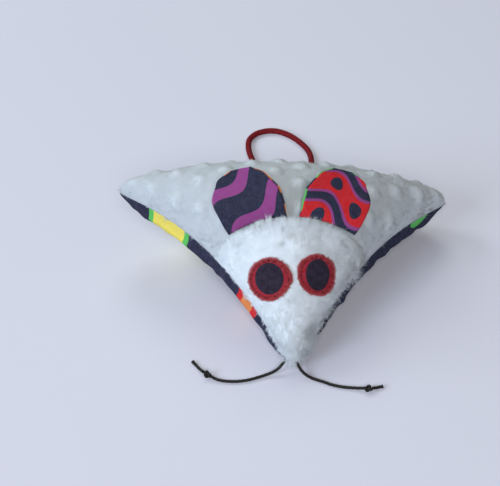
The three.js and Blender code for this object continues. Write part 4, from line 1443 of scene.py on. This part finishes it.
def swell(pad, cap):
    """Swells the pad as cloth under pressure, and holds every point within the cap."""
    scene = bpy.context.scene
    start = points_of(pad)
    choose(pad)
    cloth = pad.modifiers.new("swell", "CLOTH")
    cloth.settings.use_pressure = True
    cloth.settings.uniform_pressure_force = 4
    cloth.settings.effector_weights.gravity = 0
    for number in range(1, 21):
        scene.frame_set(number)
    bpy.ops.object.modifier_apply(modifier=cloth.name)
    scene.frame_set(1)
    moved = points_of(pad) - start
    far = np.linalg.norm(moved, axis=1, keepdims=True)
    held = start + moved * np.minimum(1, cap / np.maximum(far, 1e-9))
    pad.data.vertices.foreach_set("co", held.astype(np.float32).ravel())
    pad.data.update()
    apply_modifier(pad, "SUBSURF", "smooth", levels=1, render_levels=1)


def sunk(points):
    """The points moved straight down to the plush, and just under it."""
    moved = []
    for point in points:
        place, normal, _, _ = head_tree().ray_cast(Vector((point[0], point[1], 120)) * MM, Vector((0, 0, -1)))
        moved.append(point - (0, 0, 1) if place is None else np.array(place) / MM - 0.6 * np.array(normal))
    return np.array(moved)


def seam_lines():
    """The lines of the four seams' threads, in millimetres."""
    skip = math.radians(6)
    lines = {}
    for name, first in (("right_side", 0), ("rear", THIRD_TURN), ("left_side", 2 * THIRD_TURN)):
        turns = np.linspace(first + skip, first + THIRD_TURN - skip, 220)
        slopes, seam = ray_shares(turns - 0.65 * np.sin(3 * turns) / 3)
        points = leaned(seam_sheet(1 / 3 + seam[:, None] * slopes)) - CENTRE
        outward = unit(np.cross(unit(np.gradient(points, axis=0)), (0, 0, 1)) * (1, 1, 0))
        lines[f"{name}_thread"] = points - outward
    across = 0.012 + 0.976 * (1 - np.cos(np.pi * np.linspace(0, 1, 220))) / 2
    lines["head_seam_thread"] = sunk(head_seam_points(across))
    return lines


class TOY_OT_make_filling(bpy.types.Operator):
    """Makes the loose filling and the seam threads inside the pillow"""

    bl_idname = "toy.make_filling"
    bl_label = "Make the filling"

    def execute(self, context):
        filling = frame["nodes"]["stuffing"].copy()
        filling.data = filling.data.copy()
        filling.name = "filling"
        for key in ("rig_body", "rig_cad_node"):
            if key in filling:
                del filling[key]
        filling.parent = None
        context.scene.collection.objects.link(filling)
        choose(filling)
        bpy.ops.object.mode_set(mode="EDIT")
        bpy.ops.mesh.select_all(action="SELECT")
        bpy.ops.mesh.remove_doubles(threshold=1e-5)
        bpy.ops.object.mode_set(mode="OBJECT")
        apply_modifier(filling, "REMESH", "even", mode="VOXEL", voxel_size=VOXEL)
        apply_modifier(filling, "DISPLACE", "smaller", strength=-DRAWN_IN * MM, mid_level=0)
        apply_modifier(filling, "REMESH", "even again", mode="VOXEL", voxel_size=VOXEL)
        swell(filling, SWELL_CAP * MM)
        filling.data.materials.clear()
        dark, pale = (0.72, 0.71, 0.67), (0.93, 0.92, 0.89)
        fibre = speckled("Loose fibre", 0.95, 220, dark, pale, 0.6, 0.001, detail=4, Sheen_Weight=0.2)
        finish_piece(filling, fibre, "body", "filling", "stuffing")

        dark, pale = (0.60, 0.66, 0.72), (0.78, 0.83, 0.88)
        material = speckled("Seam thread", 0.6, 1800, dark, pale, 0.3, 0.0001, Sheen_Weight=0.1)
        for node, line in seam_lines().items():
            points, length = smooth_route(line[::6], 0.3)
            stitch = np.sin(2 * np.pi * np.linspace(0, length, len(points)) / STITCH_LENGTH)
            points = points + 0.28 * stitch[:, None] * rings_along(points)[1]
            thread = tube_mesh(f"{node}_stitches", points, SEAM_THREAD_RADIUS, 6)
            finish_piece(thread, material, "body", "seam_thread", node)
        return {"FINISHED"}


class TOY_PT_panel(bpy.types.Panel):
    """Lists what the toy is made with"""

    bl_label = "Plush toy mouse"
    bl_idname = "TOY_PT_panel"
    bl_space_type = "VIEW_3D"
    bl_region_type = "UI"
    bl_category = "Toy"

    def draw(self, context):
        for operator in OPERATORS:
            self.layout.operator(operator.bl_idname)
        for group in ("toy_plush", "toy_cloth", "toy_cords", "toy_stage"):
            settings = getattr(context.scene, group)
            box = self.layout.box()
            for key in settings.__annotations__:
                box.prop(settings, key)


SETTINGS = {
    "toy_plush": PlushSettings,
    "toy_cloth": ClothSettings,
    "toy_cords": CordSettings,
    "toy_stage": StageSettings,
}
OPERATORS = (
    TOY_OT_make_stage,
    TOY_OT_make_tail,
    TOY_OT_make_whiskers,
    TOY_OT_make_top,
    TOY_OT_make_belly,
    TOY_OT_make_ears,
    TOY_OT_make_eyes,
    TOY_OT_make_pile,
    TOY_OT_make_filling,
)
CLASSES = (*SETTINGS.values(), *OPERATORS, TOY_PT_panel)


def register():
    """Adds the classes and their settings."""
    for one in CLASSES:
        bpy.utils.register_class(one)
    for name, group in SETTINGS.items():
        setattr(bpy.types.Scene, name, PointerProperty(type=group))


def unregister():
    """Takes the settings and the classes away."""
    for name in SETTINGS:
        delattr(bpy.types.Scene, name)
    for one in reversed(CLASSES):
        bpy.utils.unregister_class(one)


def main():
    """Makes everything in order."""
    register()
    for operator in OPERATORS:
        group, name = operator.bl_idname.split(".")
        getattr(getattr(bpy.ops, group), name)()


if __name__ == "__main__":
    main()
